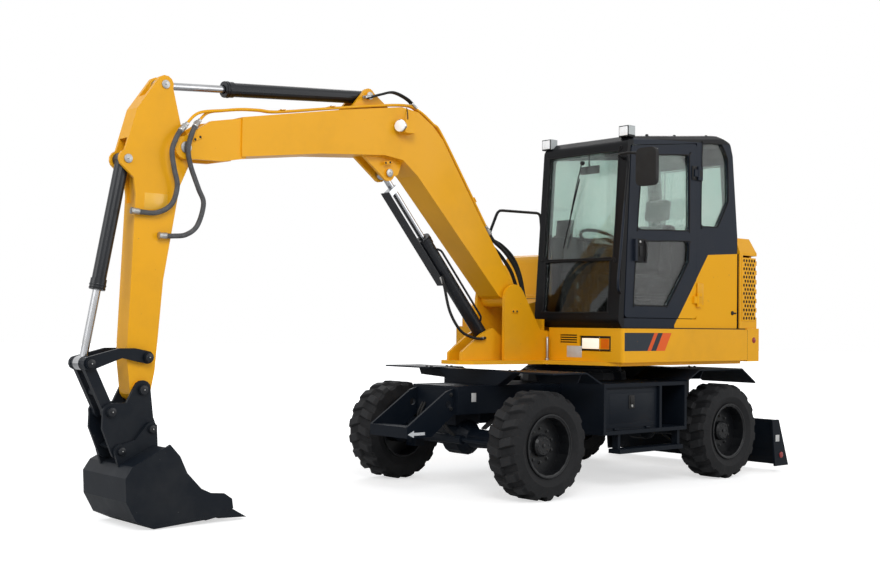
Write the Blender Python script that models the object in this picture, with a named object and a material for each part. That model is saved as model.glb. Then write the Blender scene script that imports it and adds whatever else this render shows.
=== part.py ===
# Wheeled excavator, about 7.5 t, modelled as an assembly of its real pieces.
# Metres, +X forward, +Y to the left (the cab side), +Z up. While it is built the origin is on the
# ground below the centre of the slew ring; the last section moves it to the middle of the footprint.
import bpy
import bmesh
from math import atan2, cos, pi, radians, sin
from mathutils import Matrix, Vector

# Running clearances
SEAT_GAP = 0.0003          # left between faces that rest on each other
MOVE_GAP = 0.006           # left between pieces that pass each other

# Wheels and axles
WHEEL_RADIUS = 0.415       # out to the lugs' tips
LUG_HEIGHT = 0.026
LUGS = 18                  # lugs on each half of a tyre
TYRE_WIDTH = 0.306
TRACK = 1.700              # between the tyres' middles
FRONT_AXLE_X = 1.350
REAR_AXLE_X = -0.950
RIM_RADIUS = 0.5583 * WHEEL_RADIUS     # the barrel that the tyre's beads sit on
RIM_WALL = 0.012
RIM_SIDES = 18
BEAD_SHARE = 0.80          # of the tyre's half width
DISC_OFFSET = 0.012        # back of the wheel disc, outward of the tyre's middle
DISC_THICK = 0.018
HUB_CAP_RADIUS = 0.085
HUB_CAP_LENGTH = 0.045
AXLE_TUBE_RADIUS = 0.080
DIFF_RADIUS = 0.140
KINGPIN_Y = TRACK / 2 - 0.230
YOKE_REACH = 0.120         # of the axle's forks above and below the wheel's centre
HUB_RADIUS = 0.105
STEER_ARM = 0.190          # from the kingpin forward to the tie rod

# Chassis
TYRE_TOP = 2 * WHEEL_RADIUS
GIRDER_HALF = 0.270
GIRDER_BOTTOM = TYRE_TOP - 0.210
GIRDER_TOP = GIRDER_BOTTOM + 0.220
GIRDER_REAR_X = -1.330
GIRDER_FRONT_X = 1.640
WAIST_HALF = 0.480         # the wide middle, which carries the side boxes
WAIST_REAR_X = -0.400
WAIST_FRONT_X = 0.700
WAIST_BOTTOM = GIRDER_BOTTOM - 0.060
RING_SEAT_RADIUS = 0.460
RING_RADIUS = 0.425
RING_BORE = 0.300
RING_BOTTOM = GIRDER_TOP + 0.090
RING_TOP = RING_BOTTOM + 0.075
SIDE_Y = 1.000             # outer face of boxes, fenders, skirts and blade
BOX_OUTER_Y = 0.950
BOX_REAR_X = -0.384
BOX_FRONT_X = 0.691
BOX_BOTTOM = WAIST_BOTTOM - 0.102
BOX_TOP = GIRDER_TOP + 0.026
BOX_WALL = 0.030
FENDER_TOP = TYRE_TOP + 0.135
FENDER_THICK = 0.012
FENDER_INNER_Y = 0.420
STEP_HALF = 0.225          # outer faces of the front step's side plates
STEP_PLATE = 0.020
STEP_FRONT_X = 2.120
STEP_BOTTOM = GIRDER_BOTTOM - 0.165
STEP_BEAM = 0.085

# Blade
BLADE_PIVOT_X = -1.230
BLADE_PIVOT_Z = GIRDER_BOTTOM - 0.100
BLADE_ARM_Y = 0.230
BLADE_TOP = BLADE_PIVOT_Z - 0.035
BLADE_BOTTOM = 0.060
BLADE_FRONT_X = -1.600
BLADE_THICK = 0.055
BLADE_CYLINDER_FOOT = (-1.372, GIRDER_TOP - 0.060)
BLADE_CYLINDER_HEAD = (-1.575, BLADE_PIVOT_Z - 0.220)
BLADE_BARREL_LENGTH = 0.290

# Upper structure; its heights, and those of all that it carries, count from a slew ring whose top is
# at HOUSE_BASE, and the house's body then stands on the real ring
HOUSE_BASE = 1.005
DECK_BOTTOM = HOUSE_BASE + SEAT_GAP
DECK_THICK = 0.030
SKIRT_TOP = 1.310
HOUSE_FRONT_X = 0.520
SPLIT_X = -1.200           # joint between the side skirts and the counterweight
TAIL_CORNER_X = -1.380
TAIL_X = -1.600
POST_INNER_Y = 0.150       # inner faces of the two plates that hold the boom's foot
POST_THICK = 0.030
HOOD_TOP = 2.110
HOOD_WALL = 0.025
RIGHT_HOOD_TOP = 1.990

# Cab
CAB_RIGHT_Y = 0.040
CAB_LEFT_Y = 0.970
CAB_WALL = 0.050
DOOR_THICK = 0.040
DOOR_REAR_X = -0.478
DOOR_FRONT_X = 0.400
GLASS_THICK = 0.008

# Pivots of the working equipment, as (x, z) at rest
BOOM_FOOT = (0.930, 1.550)
BOOM_CYLINDER_FOOT = (1.120, 1.220)
BOOM_CYLINDER_HEAD = (2.205, 2.485)
ARM_PIVOT = (3.990, 2.490)
ARM_CYLINDER_FOOT = (2.420, 3.050)
ARM_CYLINDER_HEAD = (4.130, 2.900)
BUCKET_CYLINDER_FOOT = (4.390, 2.380)
ROCKER_PIVOT = (4.240, 1.090)
LINK_HEAD = (4.640, 1.055)
LINK_FOOT = (4.490, 0.745)
ARM_TIP = (4.270, 0.880)
BUCKET_PIN_NEAR = (4.215, 0.626)
BUCKET_PIN_FAR = (4.428, 0.495)

BOOM_HALF = 0.125
FORK_HALF = 0.112
ARM_HALF = 0.075
BUCKET_HALF = 0.300
BOOM_BARREL_RADIUS = 0.056
ARM_BARREL_RADIUS = 0.050
BUCKET_BARREL_RADIUS = 0.046
CYLINDER_ROD = 0.026
EYE_RADIUS = 0.048
EYE_HALF = 0.040
EAR_THICK = 0.025
BLADE_BARREL_RADIUS = 0.036
BLADE_EYE_HALF = 0.030
ROCKER_PIN = 0.024         # radius
LAYER = ARM_HALF + 0.009   # inner faces of the rocker's and the coupler's plates


# Start from an empty file
for old in list(bpy.data.objects):
    bpy.data.objects.remove(old, do_unlink=True)


def paint(name, rgb, roughness, metallic=0.0):
    """A plain Principled finish."""
    finish = bpy.data.materials.new(name)
    finish.use_nodes = True
    shader = finish.node_tree.nodes["Principled BSDF"]
    shader.inputs["Base Color"].default_value = (*rgb, 1.0)
    shader.inputs["Roughness"].default_value = roughness
    shader.inputs["Metallic"].default_value = metallic
    return finish


YELLOW = (0.87, 0.43, 0.020)
CHARCOAL = (0.018, 0.026, 0.038)
BLACK = (0.012, 0.012, 0.013)
RUBBER = (0.020, 0.020, 0.021)
CHROME = (0.62, 0.64, 0.66)
GLASS = (0.25, 0.42, 0.36)


# Shapes, each returned as an object that isn't a node yet
def shape_from(mesh_data):
    bmesh.ops.recalc_face_normals(mesh_data, faces=mesh_data.faces)
    mesh = bpy.data.meshes.new("shape")
    mesh_data.to_mesh(mesh)
    mesh_data.free()
    piece = bpy.data.objects.new("shape", mesh)
    bpy.context.collection.objects.link(piece)
    return piece


AXES = {"x": (1, 2, 0), "y": (0, 2, 1), "z": (0, 1, 2)}


def spot(axis, a, b, along):
    """The point whose two outline coordinates are a and b, at a place along the axis."""
    first, second, third = AXES[axis]
    point = [0.0, 0.0, 0.0]
    point[first], point[second], point[third] = a, b, along
    return point


def prism(outline, low, high, axis="y"):
    """A flat outline carried along an axis."""
    mesh_data = bmesh.new()
    ends = []
    for along in (low, high):
        ends.append([mesh_data.verts.new(spot(axis, a, b, along)) for a, b in outline])
    for ring in ends:
        mesh_data.faces.new(ring)
    count = len(outline)
    for i in range(count):
        j = (i + 1) % count
        mesh_data.faces.new((ends[0][i], ends[0][j], ends[1][j], ends[1][i]))
    return shape_from(mesh_data)


def block(x, y, z):
    """A box from pairs of limits."""
    corners = [(x[0], z[0]), (x[1], z[0]), (x[1], z[1]), (x[0], z[1])]
    return prism(corners, y[0], y[1], "y")


def rounded(outline, radius, steps=4):
    """The outline with each corner turned into an arc; radius is one value or one for each corner."""
    count = len(outline)
    radii = radius if isinstance(radius, (list, tuple)) else [radius] * count
    result = []
    for i, corner in enumerate(outline):
        here = Vector(corner)
        to_last = (Vector(outline[i - 1]) - here)
        to_next = (Vector(outline[(i + 1) % count]) - here)
        if radii[i] <= 0:
            result.append(tuple(here))
            continue
        half = to_last.angle(to_next) / 2
        reach = min(radii[i] / max(sin(half) / cos(half), 1e-6), 0.49 * to_last.length,
                    0.49 * to_next.length)
        start = here + to_last.normalized() * reach
        end = here + to_next.normalized() * reach
        centre = here + (to_last.normalized() + to_next.normalized()).normalized() * (reach / cos(half))
        size = (start - centre).length
        first = atan2(start.y - centre.y, start.x - centre.x)
        turn = atan2(end.y - centre.y, end.x - centre.x) - first
        turn = (turn + pi) % (2 * pi) - pi
        for k in range(steps + 1):
            angle = first + turn * k / steps
            result.append((centre.x + size * cos(angle), centre.y + size * sin(angle)))
    return result


def arc(centre, radius, start, end, steps):
    """Points on an arc, its angles in degrees."""
    points = []
    for k in range(steps + 1):
        angle = radians(start + (end - start) * k / steps)
        points.append((centre[0] + radius * cos(angle), centre[1] + radius * sin(angle)))
    return points


def turned(profile, centre, axis="y", sides=24):
    """A closed profile of (radius, along) turned round an axis through the centre."""
    mesh_data = bmesh.new()
    third = AXES[axis][2]
    rings = []
    for radius, along in profile:
        if radius <= 1e-6:
            place = Vector(centre)
            place[third] += along
            rings.append([mesh_data.verts.new(place)])
            continue
        ring = []
        for k in range(sides):
            angle = 2 * pi * k / sides
            place = Vector(centre) + Vector(spot(axis, radius * cos(angle), radius * sin(angle), along))
            ring.append(mesh_data.verts.new(place))
        rings.append(ring)
    count = len(rings)
    for i in range(count):
        here, after = rings[i], rings[(i + 1) % count]
        if len(here) == 1 and len(after) == 1:
            continue
        for k in range(sides):
            n = (k + 1) % sides
            if len(here) == 1:
                mesh_data.faces.new((here[0], after[n], after[k]))
            elif len(after) == 1:
                mesh_data.faces.new((here[k], here[n], after[0]))
            else:
                mesh_data.faces.new((here[k], here[n], after[n], after[k]))
    return shape_from(mesh_data)


def drum(centre, radius, half, axis="y", sides=20):
    """A cylinder, centred, with its half length."""
    return turned([(0, -half), (radius, -half), (radius, half), (0, half)], centre, axis, sides)


def bar(start, end, radius, sides=12, end_radius=None):
    """A round bar between two points."""
    start, end = Vector(start), Vector(end)
    mesh_data = bmesh.new()
    bmesh.ops.create_cone(mesh_data, cap_ends=True, segments=sides, radius1=radius,
                          radius2=radius if end_radius is None else end_radius, depth=(end - start).length)
    turn = (end - start).to_track_quat("Z", "Y").to_matrix().to_4x4()
    bmesh.ops.transform(mesh_data, matrix=Matrix.Translation((start + end) / 2) @ turn,
                        verts=mesh_data.verts)
    return shape_from(mesh_data)


def pipe(route, radius, resolution=2):
    """A tube along a route of points, with closed ends."""
    curve = bpy.data.curves.new("pipe", "CURVE")
    curve.dimensions = "3D"
    curve.bevel_depth = radius
    curve.bevel_resolution = resolution
    curve.use_fill_caps = True
    line = curve.splines.new("POLY")
    line.points.add(len(route) - 1)
    for point, place in zip(line.points, route):
        point.co = (*place, 1.0)
    guide = bpy.data.objects.new("pipe", curve)
    bpy.context.collection.objects.link(guide)
    piece = applied(guide)
    mesh_data = bmesh.new()
    mesh_data.from_mesh(piece.data)
    bmesh.ops.remove_doubles(mesh_data, verts=mesh_data.verts, dist=1e-6)
    mesh_data.to_mesh(piece.data)
    mesh_data.free()
    return piece


def bent(route, radius, steps=3):
    """A route of 3-D points with its corners rounded."""
    result = [Vector(route[0])]
    for i in range(1, len(route) - 1):
        here = Vector(route[i])
        back = Vector(route[i - 1]) - here
        on = Vector(route[i + 1]) - here
        reach = min(radius, 0.45 * back.length, 0.45 * on.length)
        start, end = here + back.normalized() * reach, here + on.normalized() * reach
        for k in range(steps + 1):
            t = k / steps
            result.append(start * (1 - t) ** 2 + here * 2 * t * (1 - t) + end * t ** 2)
    result.append(Vector(route[-1]))
    return result


def smooth(route, spacing):
    """Points at an even spacing on a smooth curve through a route's own points.

    The route's first and last stretches stay straight.
    """
    places = [Vector(point) for point in route]
    first, last = places[0], places[-1]
    fine = []
    for i in range(1, len(places) - 2):
        a, b, c, d = places[i - 1:i + 3]
        for k in range(12):
            t = k / 12
            fine.append(0.5 * (2 * b + (c - a) * t + (2 * a - 5 * b + 4 * c - d) * t ** 2
                               + (3 * b - a - 3 * c + d) * t ** 3))
    fine.append(places[-2])
    points, walked = [first, fine[0]], 0.0
    for here, after in zip(fine, fine[1:]):
        walked += (after - here).length
        if walked >= spacing:
            points.append(after)
            walked = 0.0
    if (points[-1] - fine[-1]).length < spacing / 2:
        points.pop()
    return points + [fine[-1], last]


def hose(route, radius):
    """A round hose along its route, with closed ends."""
    return pipe(smooth(route, 4 * radius), radius)


def loft(low_outline, low, high_outline, high, axis):
    """A solid between two outlines of as many points, at two places along an axis."""
    mesh_data = bmesh.new()
    ends = []
    for outline, along in ((low_outline, low), (high_outline, high)):
        ends.append([mesh_data.verts.new(spot(axis, a, b, along)) for a, b in outline])
    for ring in ends:
        mesh_data.faces.new(ring)
    count = len(low_outline)
    for i in range(count):
        j = (i + 1) % count
        mesh_data.faces.new((ends[0][i], ends[0][j], ends[1][j], ends[1][i]))
    return shape_from(mesh_data)


def applied(piece):
    """The piece with its modifiers made into its mesh."""
    graph = bpy.context.evaluated_depsgraph_get()
    mesh = bpy.data.meshes.new_from_object(piece.evaluated_get(graph))
    result = bpy.data.objects.new("shape", mesh)
    bpy.context.collection.objects.link(result)
    bpy.data.objects.remove(piece, do_unlink=True)
    return result


def joined(operation, piece, others):
    for other in others:
        step = piece.modifiers.new("join", "BOOLEAN")
        step.operation = operation
        step.solver = "EXACT"
        step.object = other
    piece = applied(piece)
    for other in others:
        bpy.data.objects.remove(other, do_unlink=True)
    return piece


def fused(piece, *others):
    """One body from pieces that run into each other."""
    return joined("UNION", piece, others)


def cut(piece, *cutters):
    """The piece without what the cutters fill."""
    return joined("DIFFERENCE", piece, cutters)


def common(piece, other):
    """What two pieces both fill."""
    return joined("INTERSECT", piece, [other])


# Bodies: each moving one hangs from an empty on its joint's axis
machine = bpy.data.objects.new("machine", None)
bpy.context.collection.objects.link(machine)
bodies = {}


def body(name, pivot, carrier=None, lift=0.0):
    empty = bpy.data.objects.new("pivot_" + name, None)
    bpy.context.collection.objects.link(empty)
    base = bodies[carrier][1] if carrier else Vector((0, 0, 0))
    empty.parent = bodies[carrier][0] if carrier else machine
    empty.location = Vector(pivot) - base + Vector((0, 0, lift))
    bodies[name] = (empty, Vector(pivot))


def node(name, body_name, piece, finish, sharp=35):
    """Names a finished piece and hangs it on its body."""
    empty, pivot = bodies[body_name]
    piece.name = name
    piece.data.name = name
    piece.data.transform(Matrix.Translation(-pivot))
    piece.data.materials.clear()
    piece.data.materials.append(paint(name, *finish))
    piece.data.shade_smooth()
    piece.data.set_sharp_from_angle(angle=radians(sharp))
    piece.parent = empty
    return piece


YELLOW_PAINT = (YELLOW, 0.35)
DARK_PAINT = (CHARCOAL, 0.42)
BLACK_PAINT = (BLACK, 0.45)
CHROMED = (CHROME, 0.12, 1.0)
RUBBERY = (RUBBER, 0.80)
GLAZING = (GLASS, 0.08)


def at(point, y=0.0):
    """A pivot given in the side view, as a point in space."""
    return (point[0], y, point[1])


FRONT_CENTRE = (FRONT_AXLE_X, 0.0, WHEEL_RADIUS)
REAR_CENTRE = (REAR_AXLE_X, 0.0, WHEEL_RADIUS)
SIDES = (("left", 1), ("right", -1))

body("undercarriage", (0, 0, 0))
body("house", (0, 0, HOUSE_BASE), "undercarriage", RING_TOP - HOUSE_BASE)
body("boom", at(BOOM_FOOT), "house")
body("boom_barrel", at(BOOM_CYLINDER_FOOT), "house")
body("boom_rod", at(BOOM_CYLINDER_FOOT), "boom_barrel")
body("arm", at(ARM_PIVOT), "boom")
body("arm_barrel", at(ARM_CYLINDER_FOOT), "boom")
body("arm_rod", at(ARM_CYLINDER_FOOT), "arm_barrel")
body("bucket", at(ARM_TIP), "arm")
body("bucket_barrel", at(BUCKET_CYLINDER_FOOT), "arm")
body("bucket_rod", at(BUCKET_CYLINDER_FOOT), "bucket_barrel")
body("rocker", at(ROCKER_PIVOT), "arm")
body("push_link", at(LINK_HEAD), "rocker")
body("blade", (BLADE_PIVOT_X, 0, BLADE_PIVOT_Z), "undercarriage")
DOOR_HINGE = (DOOR_REAR_X - MOVE_GAP / 2, CAB_LEFT_Y + 0.020, 0.0)
body("door", DOOR_HINGE, "house")
for side, s in SIDES:
    body("steer_" + side, (FRONT_AXLE_X, s * KINGPIN_Y, WHEEL_RADIUS), "undercarriage")
    body("wheel_front_" + side, (FRONT_AXLE_X, s * TRACK / 2, WHEEL_RADIUS), "steer_" + side)
    body("wheel_rear_" + side, (REAR_AXLE_X, s * TRACK / 2, WHEEL_RADIUS), "undercarriage")
body("steering_rod", (FRONT_AXLE_X + STEER_ARM, 0, WHEEL_RADIUS), "undercarriage")


# Tyres: a ring whose tread steps between lug and groove, the two halves half a pitch apart
# Columns: share of the half width, radius in a groove, radius on a lug, which half
def tyre_columns():
    tread = WHEEL_RADIUS - LUG_HEIGHT
    bead = (RIM_RADIUS + SEAT_GAP) / cos(0.4 * pi / LUGS)
    wall = (RIM_RADIUS + WHEEL_RADIUS) / 2 - 0.02
    columns = [
        (BEAD_SHARE, bead, bead),
        (1.00, wall, wall),
        (0.93, tread - 0.012, WHEEL_RADIUS - 0.022),
        (0.70, tread, WHEEL_RADIUS),
        (0.08, tread + 0.004, WHEEL_RADIUS),
    ]
    outer = [(share, low, high, 0) for share, low, high in columns]
    inner = [(-share, low, high, 1) for share, low, high in reversed(columns)]
    return outer + inner


def tyre(centre, hand):
    mesh_data = bmesh.new()
    steps = 4 * LUGS
    pitch_places = (0.00, 0.40, 0.50, 0.90)
    rings = []
    for share, low, high, half in tyre_columns():
        ring = []
        for k in range(steps):
            lean = 0.30 * abs(share) if abs(share) < 0.95 else 0.30
            angle = 2 * pi / LUGS * (k // 4 + pitch_places[k % 4] + hand * lean)
            on_lug = (k % 4 < 2) != bool(half)
            radius = high if on_lug else low
            place = Vector((radius * cos(angle), share * TYRE_WIDTH / 2, radius * sin(angle)))
            ring.append(mesh_data.verts.new(Vector(centre) + place))
        rings.append(ring)
    for here, after in zip(rings, rings[1:] + rings[:1]):
        for k in range(steps):
            n = (k + 1) % steps
            mesh_data.faces.new((here[k], here[n], after[n], after[k]))
    return shape_from(mesh_data)


def rim(centre, s):
    """Deep-dished disc wheel with the planetary hub's cap; s points outward."""
    half = BEAD_SHARE * TYRE_WIDTH / 2
    bore = RIM_RADIUS - RIM_WALL
    face = DISC_OFFSET + DISC_THICK
    profile = [
        (0, face + HUB_CAP_LENGTH),
        (HUB_CAP_RADIUS - 0.015, face + HUB_CAP_LENGTH),
        (HUB_CAP_RADIUS, face + HUB_CAP_LENGTH - 0.015),
        (HUB_CAP_RADIUS, face),
        (bore, face),
        (bore, half + 0.010),
        (RIM_RADIUS + 0.010, half + 0.018),
        (RIM_RADIUS + 0.010, half + 0.010),
        (RIM_RADIUS, half + 0.006),
        (RIM_RADIUS, -half - 0.012),
        (bore, -half - 0.012),
        (bore, DISC_OFFSET),
        (0, DISC_OFFSET),
    ]
    return turned([(radius, s * along) for radius, along in profile], centre, "y", RIM_SIDES)


for end, axle_x in (("front", FRONT_AXLE_X), ("rear", REAR_AXLE_X)):
    for side, s in SIDES:
        centre = (axle_x, s * TRACK / 2, WHEEL_RADIUS)
        wheel = f"wheel_{end}_{side}"
        node(f"tyre_{end}_{side}", wheel, tyre(centre, s), RUBBERY, 25)
        node(f"rim_{end}_{side}", wheel, rim(centre, s), BLACK_PAINT)

HUB_FACE_Y = TRACK / 2 + DISC_OFFSET - SEAT_GAP     # where a wheel's disc is bolted on


# Front axle: housing with forks at its ends, which hold the kingpins
def front_axle():
    centre = Vector(FRONT_CENTRE)
    fork_y = KINGPIN_Y - 0.055
    tube = turned([(0, -fork_y), (0.062, -fork_y), (AXLE_TUBE_RADIUS, -0.15), (DIFF_RADIUS, -0.085),
                   (DIFF_RADIUS, 0.085), (AXLE_TUBE_RADIUS, 0.15), (0.062, fork_y), (0, fork_y)],
                  centre, "y", 16)
    parts = []
    for s in (1, -1):
        inner = s * (fork_y - 0.05)
        outer = s * (fork_y - 0.002)
        parts.append(block((FRONT_AXLE_X - 0.05, FRONT_AXLE_X + 0.05), sorted((inner, outer)),
                           (WHEEL_RADIUS - YOKE_REACH, WHEEL_RADIUS + YOKE_REACH)))
        for up in (1, -1):
            low = WHEEL_RADIUS + up * (YOKE_REACH - 0.028)
            high = WHEEL_RADIUS + up * YOKE_REACH
            ear = rounded([(FRONT_AXLE_X - 0.046, s * (fork_y - 0.03)),
                           (FRONT_AXLE_X + 0.046, s * (fork_y - 0.03)),
                           (FRONT_AXLE_X + 0.046, s * (KINGPIN_Y + 0.046)),
                           (FRONT_AXLE_X - 0.046, s * (KINGPIN_Y + 0.046))], [0, 0, 0.04, 0.04])
            parts.append(prism(ear, min(low, high), max(low, high), "z"))
    trunnion = block((FRONT_AXLE_X - 0.13, FRONT_AXLE_X + 0.13), (-0.07, 0.07),
                     (WHEEL_RADIUS + 0.10, GIRDER_BOTTOM - SEAT_GAP))
    nose = bar((FRONT_AXLE_X - 0.05, 0, WHEEL_RADIUS), (FRONT_AXLE_X - 0.20, 0, WHEEL_RADIUS), 0.075, 14,
               0.045)
    return fused(tube, *parts, trunnion, nose)


node("front_axle", "undercarriage", front_axle(), DARK_PAINT)


def knuckle(s):
    """Kingpin housing, spindle, hub drum and steering arm."""
    y = s * KINGPIN_Y
    reach = YOKE_REACH - 0.028 - SEAT_GAP
    housing = drum((FRONT_AXLE_X, y, WHEEL_RADIUS), 0.044, reach, "z", 14)
    face = s * HUB_FACE_Y
    spindle = bar((FRONT_AXLE_X, y, WHEEL_RADIUS), (FRONT_AXLE_X, s * (HUB_FACE_Y - 0.02), WHEEL_RADIUS),
                  0.060, 14)
    hub = bar((FRONT_AXLE_X, s * (HUB_FACE_Y - 0.11), WHEEL_RADIUS), (FRONT_AXLE_X, face, WHEEL_RADIUS),
              HUB_RADIUS, 20)
    tip = Vector((FRONT_AXLE_X + STEER_ARM, s * (KINGPIN_Y - 0.05), 0))
    arm_z = WHEEL_RADIUS + 0.030
    arm = rounded([(FRONT_AXLE_X, y - s * 0.030), (FRONT_AXLE_X, y + s * 0.036),
                   (FRONT_AXLE_X + 0.110, y + s * 0.036),
                   (tip.x + 0.025, tip.y + s * 0.020), (tip.x + 0.025, tip.y - s * 0.025),
                   (tip.x - 0.020, tip.y - s * 0.025), (FRONT_AXLE_X + 0.095, y - s * 0.006)],
                  [0, 0, 0.03, 0.02, 0.02, 0.02, 0.02], 3)
    return fused(housing, spindle, hub, prism(arm, arm_z, arm_z + 0.022, "z"))


for side, s in SIDES:
    node("knuckle_" + side, "steer_" + side, knuckle(s), DARK_PAINT)

# Steering cylinder on the axle's front, its rod through both ends
ROD_X = FRONT_AXLE_X + STEER_ARM
ROD_Z = WHEEL_RADIUS
CYLINDER_HALF = 0.220
mount = block((FRONT_AXLE_X + 0.06, ROD_X), (-0.05, 0.05), (ROD_Z - 0.025, ROD_Z + 0.025))
steering_cylinder = fused(drum((ROD_X, 0, ROD_Z), 0.036, CYLINDER_HALF, "y", 16), mount)
steering_cylinder = cut(steering_cylinder, drum((ROD_X, 0, ROD_Z), 0.0165, CYLINDER_HALF + 0.01, "y", 16),
                        drum(FRONT_CENTRE, DIFF_RADIUS + SEAT_GAP, 0.0855, "y", 16))
node("steering_cylinder", "undercarriage", steering_cylinder, DARK_PAINT)
rod_reach = KINGPIN_Y - 0.05
steering_rod = fused(drum((ROD_X, 0, ROD_Z), 0.0160, rod_reach, "y", 12),
                     *[drum((ROD_X, s * rod_reach, ROD_Z + 0.0035), 0.022, 0.0260, "z",
                            12) for s in (1, -1)])
node("steering_rod", "steering_rod", steering_rod, CHROMED)


def rear_axle():
    centre = Vector(REAR_CENTRE)
    end = HUB_FACE_Y
    profile = [(0, -end), (HUB_RADIUS, -end), (HUB_RADIUS, -end + 0.12),
               (AXLE_TUBE_RADIUS - 0.01, -end + 0.16),
               (AXLE_TUBE_RADIUS, -0.15), (DIFF_RADIUS, -0.085)]
    profile += [(radius, -along) for radius, along in reversed(profile)]
    tube = turned(profile, centre, "y", 18)
    pads = [block((REAR_AXLE_X - 0.10, REAR_AXLE_X + 0.10), sorted((s * 0.19, s * 0.26)),
                  (WHEEL_RADIUS + 0.02, GIRDER_BOTTOM - SEAT_GAP)) for s in (1, -1)]
    nose = bar((REAR_AXLE_X + 0.05, 0, WHEEL_RADIUS), (REAR_AXLE_X + 0.20, 0, WHEEL_RADIUS), 0.075, 14,
               0.045)
    return fused(tube, *pads, nose)


node("rear_axle", "undercarriage", rear_axle(), DARK_PAINT)

# Drive line: transfer gearbox below the middle, with a shaft to each axle
drive_line = [block((-0.16, 0.16), (-0.15, 0.15), (WHEEL_RADIUS - 0.055, WAIST_BOTTOM - SEAT_GAP)),
              bar((-0.22, 0, WHEEL_RADIUS), (0.22, 0, WHEEL_RADIUS), 0.06, 14),
              drum((0.0, 0.20, WHEEL_RADIUS + 0.055), 0.075, 0.10, "y", 16)]
for near, far in ((0.20, FRONT_AXLE_X - 0.20 - SEAT_GAP), (-0.20, REAR_AXLE_X + 0.20 + SEAT_GAP)):
    way = 1 if far > near else -1
    drive_line.append(bar((near, 0, WHEEL_RADIUS), (far, 0, WHEEL_RADIUS), 0.028, 12))
    drive_line.append(bar((near, 0, WHEEL_RADIUS), (near + way * 0.08, 0, WHEEL_RADIUS), 0.045, 12))
    drive_line.append(bar((far - way * 0.05, 0, WHEEL_RADIUS), (far, 0, WHEEL_RADIUS), 0.045, 12))
node("drive_line", "undercarriage", fused(*drive_line), DARK_PAINT)


# Chassis frame: girder, wide waist, slew ring and its seat, and the blade's brackets
def chassis():
    girder = block((GIRDER_REAR_X, GIRDER_FRONT_X), (-GIRDER_HALF, GIRDER_HALF),
                   (GIRDER_BOTTOM, GIRDER_TOP))
    waist = block((WAIST_REAR_X, WAIST_FRONT_X), (-WAIST_HALF, WAIST_HALF),
                  (WAIST_BOTTOM, GIRDER_TOP - 0.01))
    seat_height = RING_BOTTOM - GIRDER_TOP + 0.04
    seat = turned([(0, 0), (RING_SEAT_RADIUS + 0.015, 0), (RING_SEAT_RADIUS, seat_height),
                   (0, seat_height)],
                  (0, 0, GIRDER_TOP - 0.04), "z", 24)
    brackets = []
    for s in (1, -1):
        for offset in (-0.055, 0.035):
            low, high = sorted((s * (BLADE_ARM_Y + offset), s * (BLADE_ARM_Y + offset + 0.020)))
            side = rounded([(GIRDER_REAR_X + 0.02, GIRDER_BOTTOM + 0.05),
                            (GIRDER_REAR_X + 0.25, GIRDER_BOTTOM + 0.05),
                            (BLADE_PIVOT_X + 0.07, BLADE_PIVOT_Z - 0.05),
                            (BLADE_PIVOT_X - 0.06, BLADE_PIVOT_Z - 0.05)],
                           [0, 0, 0.04, 0.04])
            brackets.append(prism(side, low, high))
    ring = turned([(RING_BORE, -0.01), (RING_RADIUS, -0.01), (RING_RADIUS, 0.030),
                   (RING_RADIUS - 0.02, 0.036),
                   (RING_RADIUS - 0.02, RING_TOP - RING_BOTTOM), (RING_BORE, RING_TOP - RING_BOTTOM)],
                  (0, 0, RING_BOTTOM), "z", 32)
    x, z = BLADE_CYLINDER_FOOT
    near = BLADE_BARREL_RADIUS + MOVE_GAP
    for s in (1, -1):
        brackets.append(block((x - 0.04, GIRDER_REAR_X + 0.01), sorted((s * near, s * (near + 0.018))),
                              (z - 0.045, z + 0.045)))
    return fused(girder, waist, seat, ring, *brackets)


node("chassis_frame", "undercarriage", chassis(), DARK_PAINT)

# Side boxes: a framed box on each side of the waist, with a recessed door
def side_box(s):
    inner = WAIST_HALF + SEAT_GAP
    outline = [(BOX_REAR_X, BOX_BOTTOM), (BOX_FRONT_X, BOX_BOTTOM), (BOX_FRONT_X, BOX_TOP),
               (BOX_REAR_X, BOX_TOP)]
    whole = prism(outline, *sorted((s * inner, s * BOX_OUTER_Y)))
    split = BOX_REAR_X + 0.34
    recess = block((split + BOX_WALL, BOX_FRONT_X - BOX_WALL), sorted((s * (BOX_OUTER_Y - 0.025),
                                                                      s * (BOX_OUTER_Y + 0.02))),
                   (BOX_BOTTOM + BOX_WALL, BOX_TOP - BOX_WALL))
    shelf = block((BOX_REAR_X + BOX_WALL, split), sorted((s * (BOX_OUTER_Y - 0.30),
                                                          s * (BOX_OUTER_Y + 0.02))),
                  (BOX_BOTTOM + BOX_WALL, BOX_TOP - BOX_WALL))
    return cut(whole, recess, shelf)


for side, s in SIDES:
    low, high = sorted((s * (BOX_OUTER_Y - 0.12), s * BOX_OUTER_Y))
    step = [block((BOX_REAR_X + 0.05, BOX_FRONT_X - 0.20), (low, high),
                  (BOX_BOTTOM - 0.158, BOX_BOTTOM - 0.123)),
            block((BOX_REAR_X + 0.06, BOX_REAR_X + 0.09), (low + 0.03, high - 0.03),
                  (BOX_BOTTOM - 0.148, BOX_BOTTOM + 0.01)),
            block((BOX_FRONT_X - 0.24, BOX_FRONT_X - 0.21), (low + 0.03, high - 0.03),
                  (BOX_BOTTOM - 0.148, BOX_BOTTOM + 0.01))]
    node("side_box_" + side, "undercarriage", fused(side_box(s), *step), DARK_PAINT)


# Fenders: bent plates, as (x, z) of their upper face
def bent_plate(line, thick, low, high):
    under = [(x, z - thick) for x, z in reversed(line)]
    return prism(list(line) + under, low, high)


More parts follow.
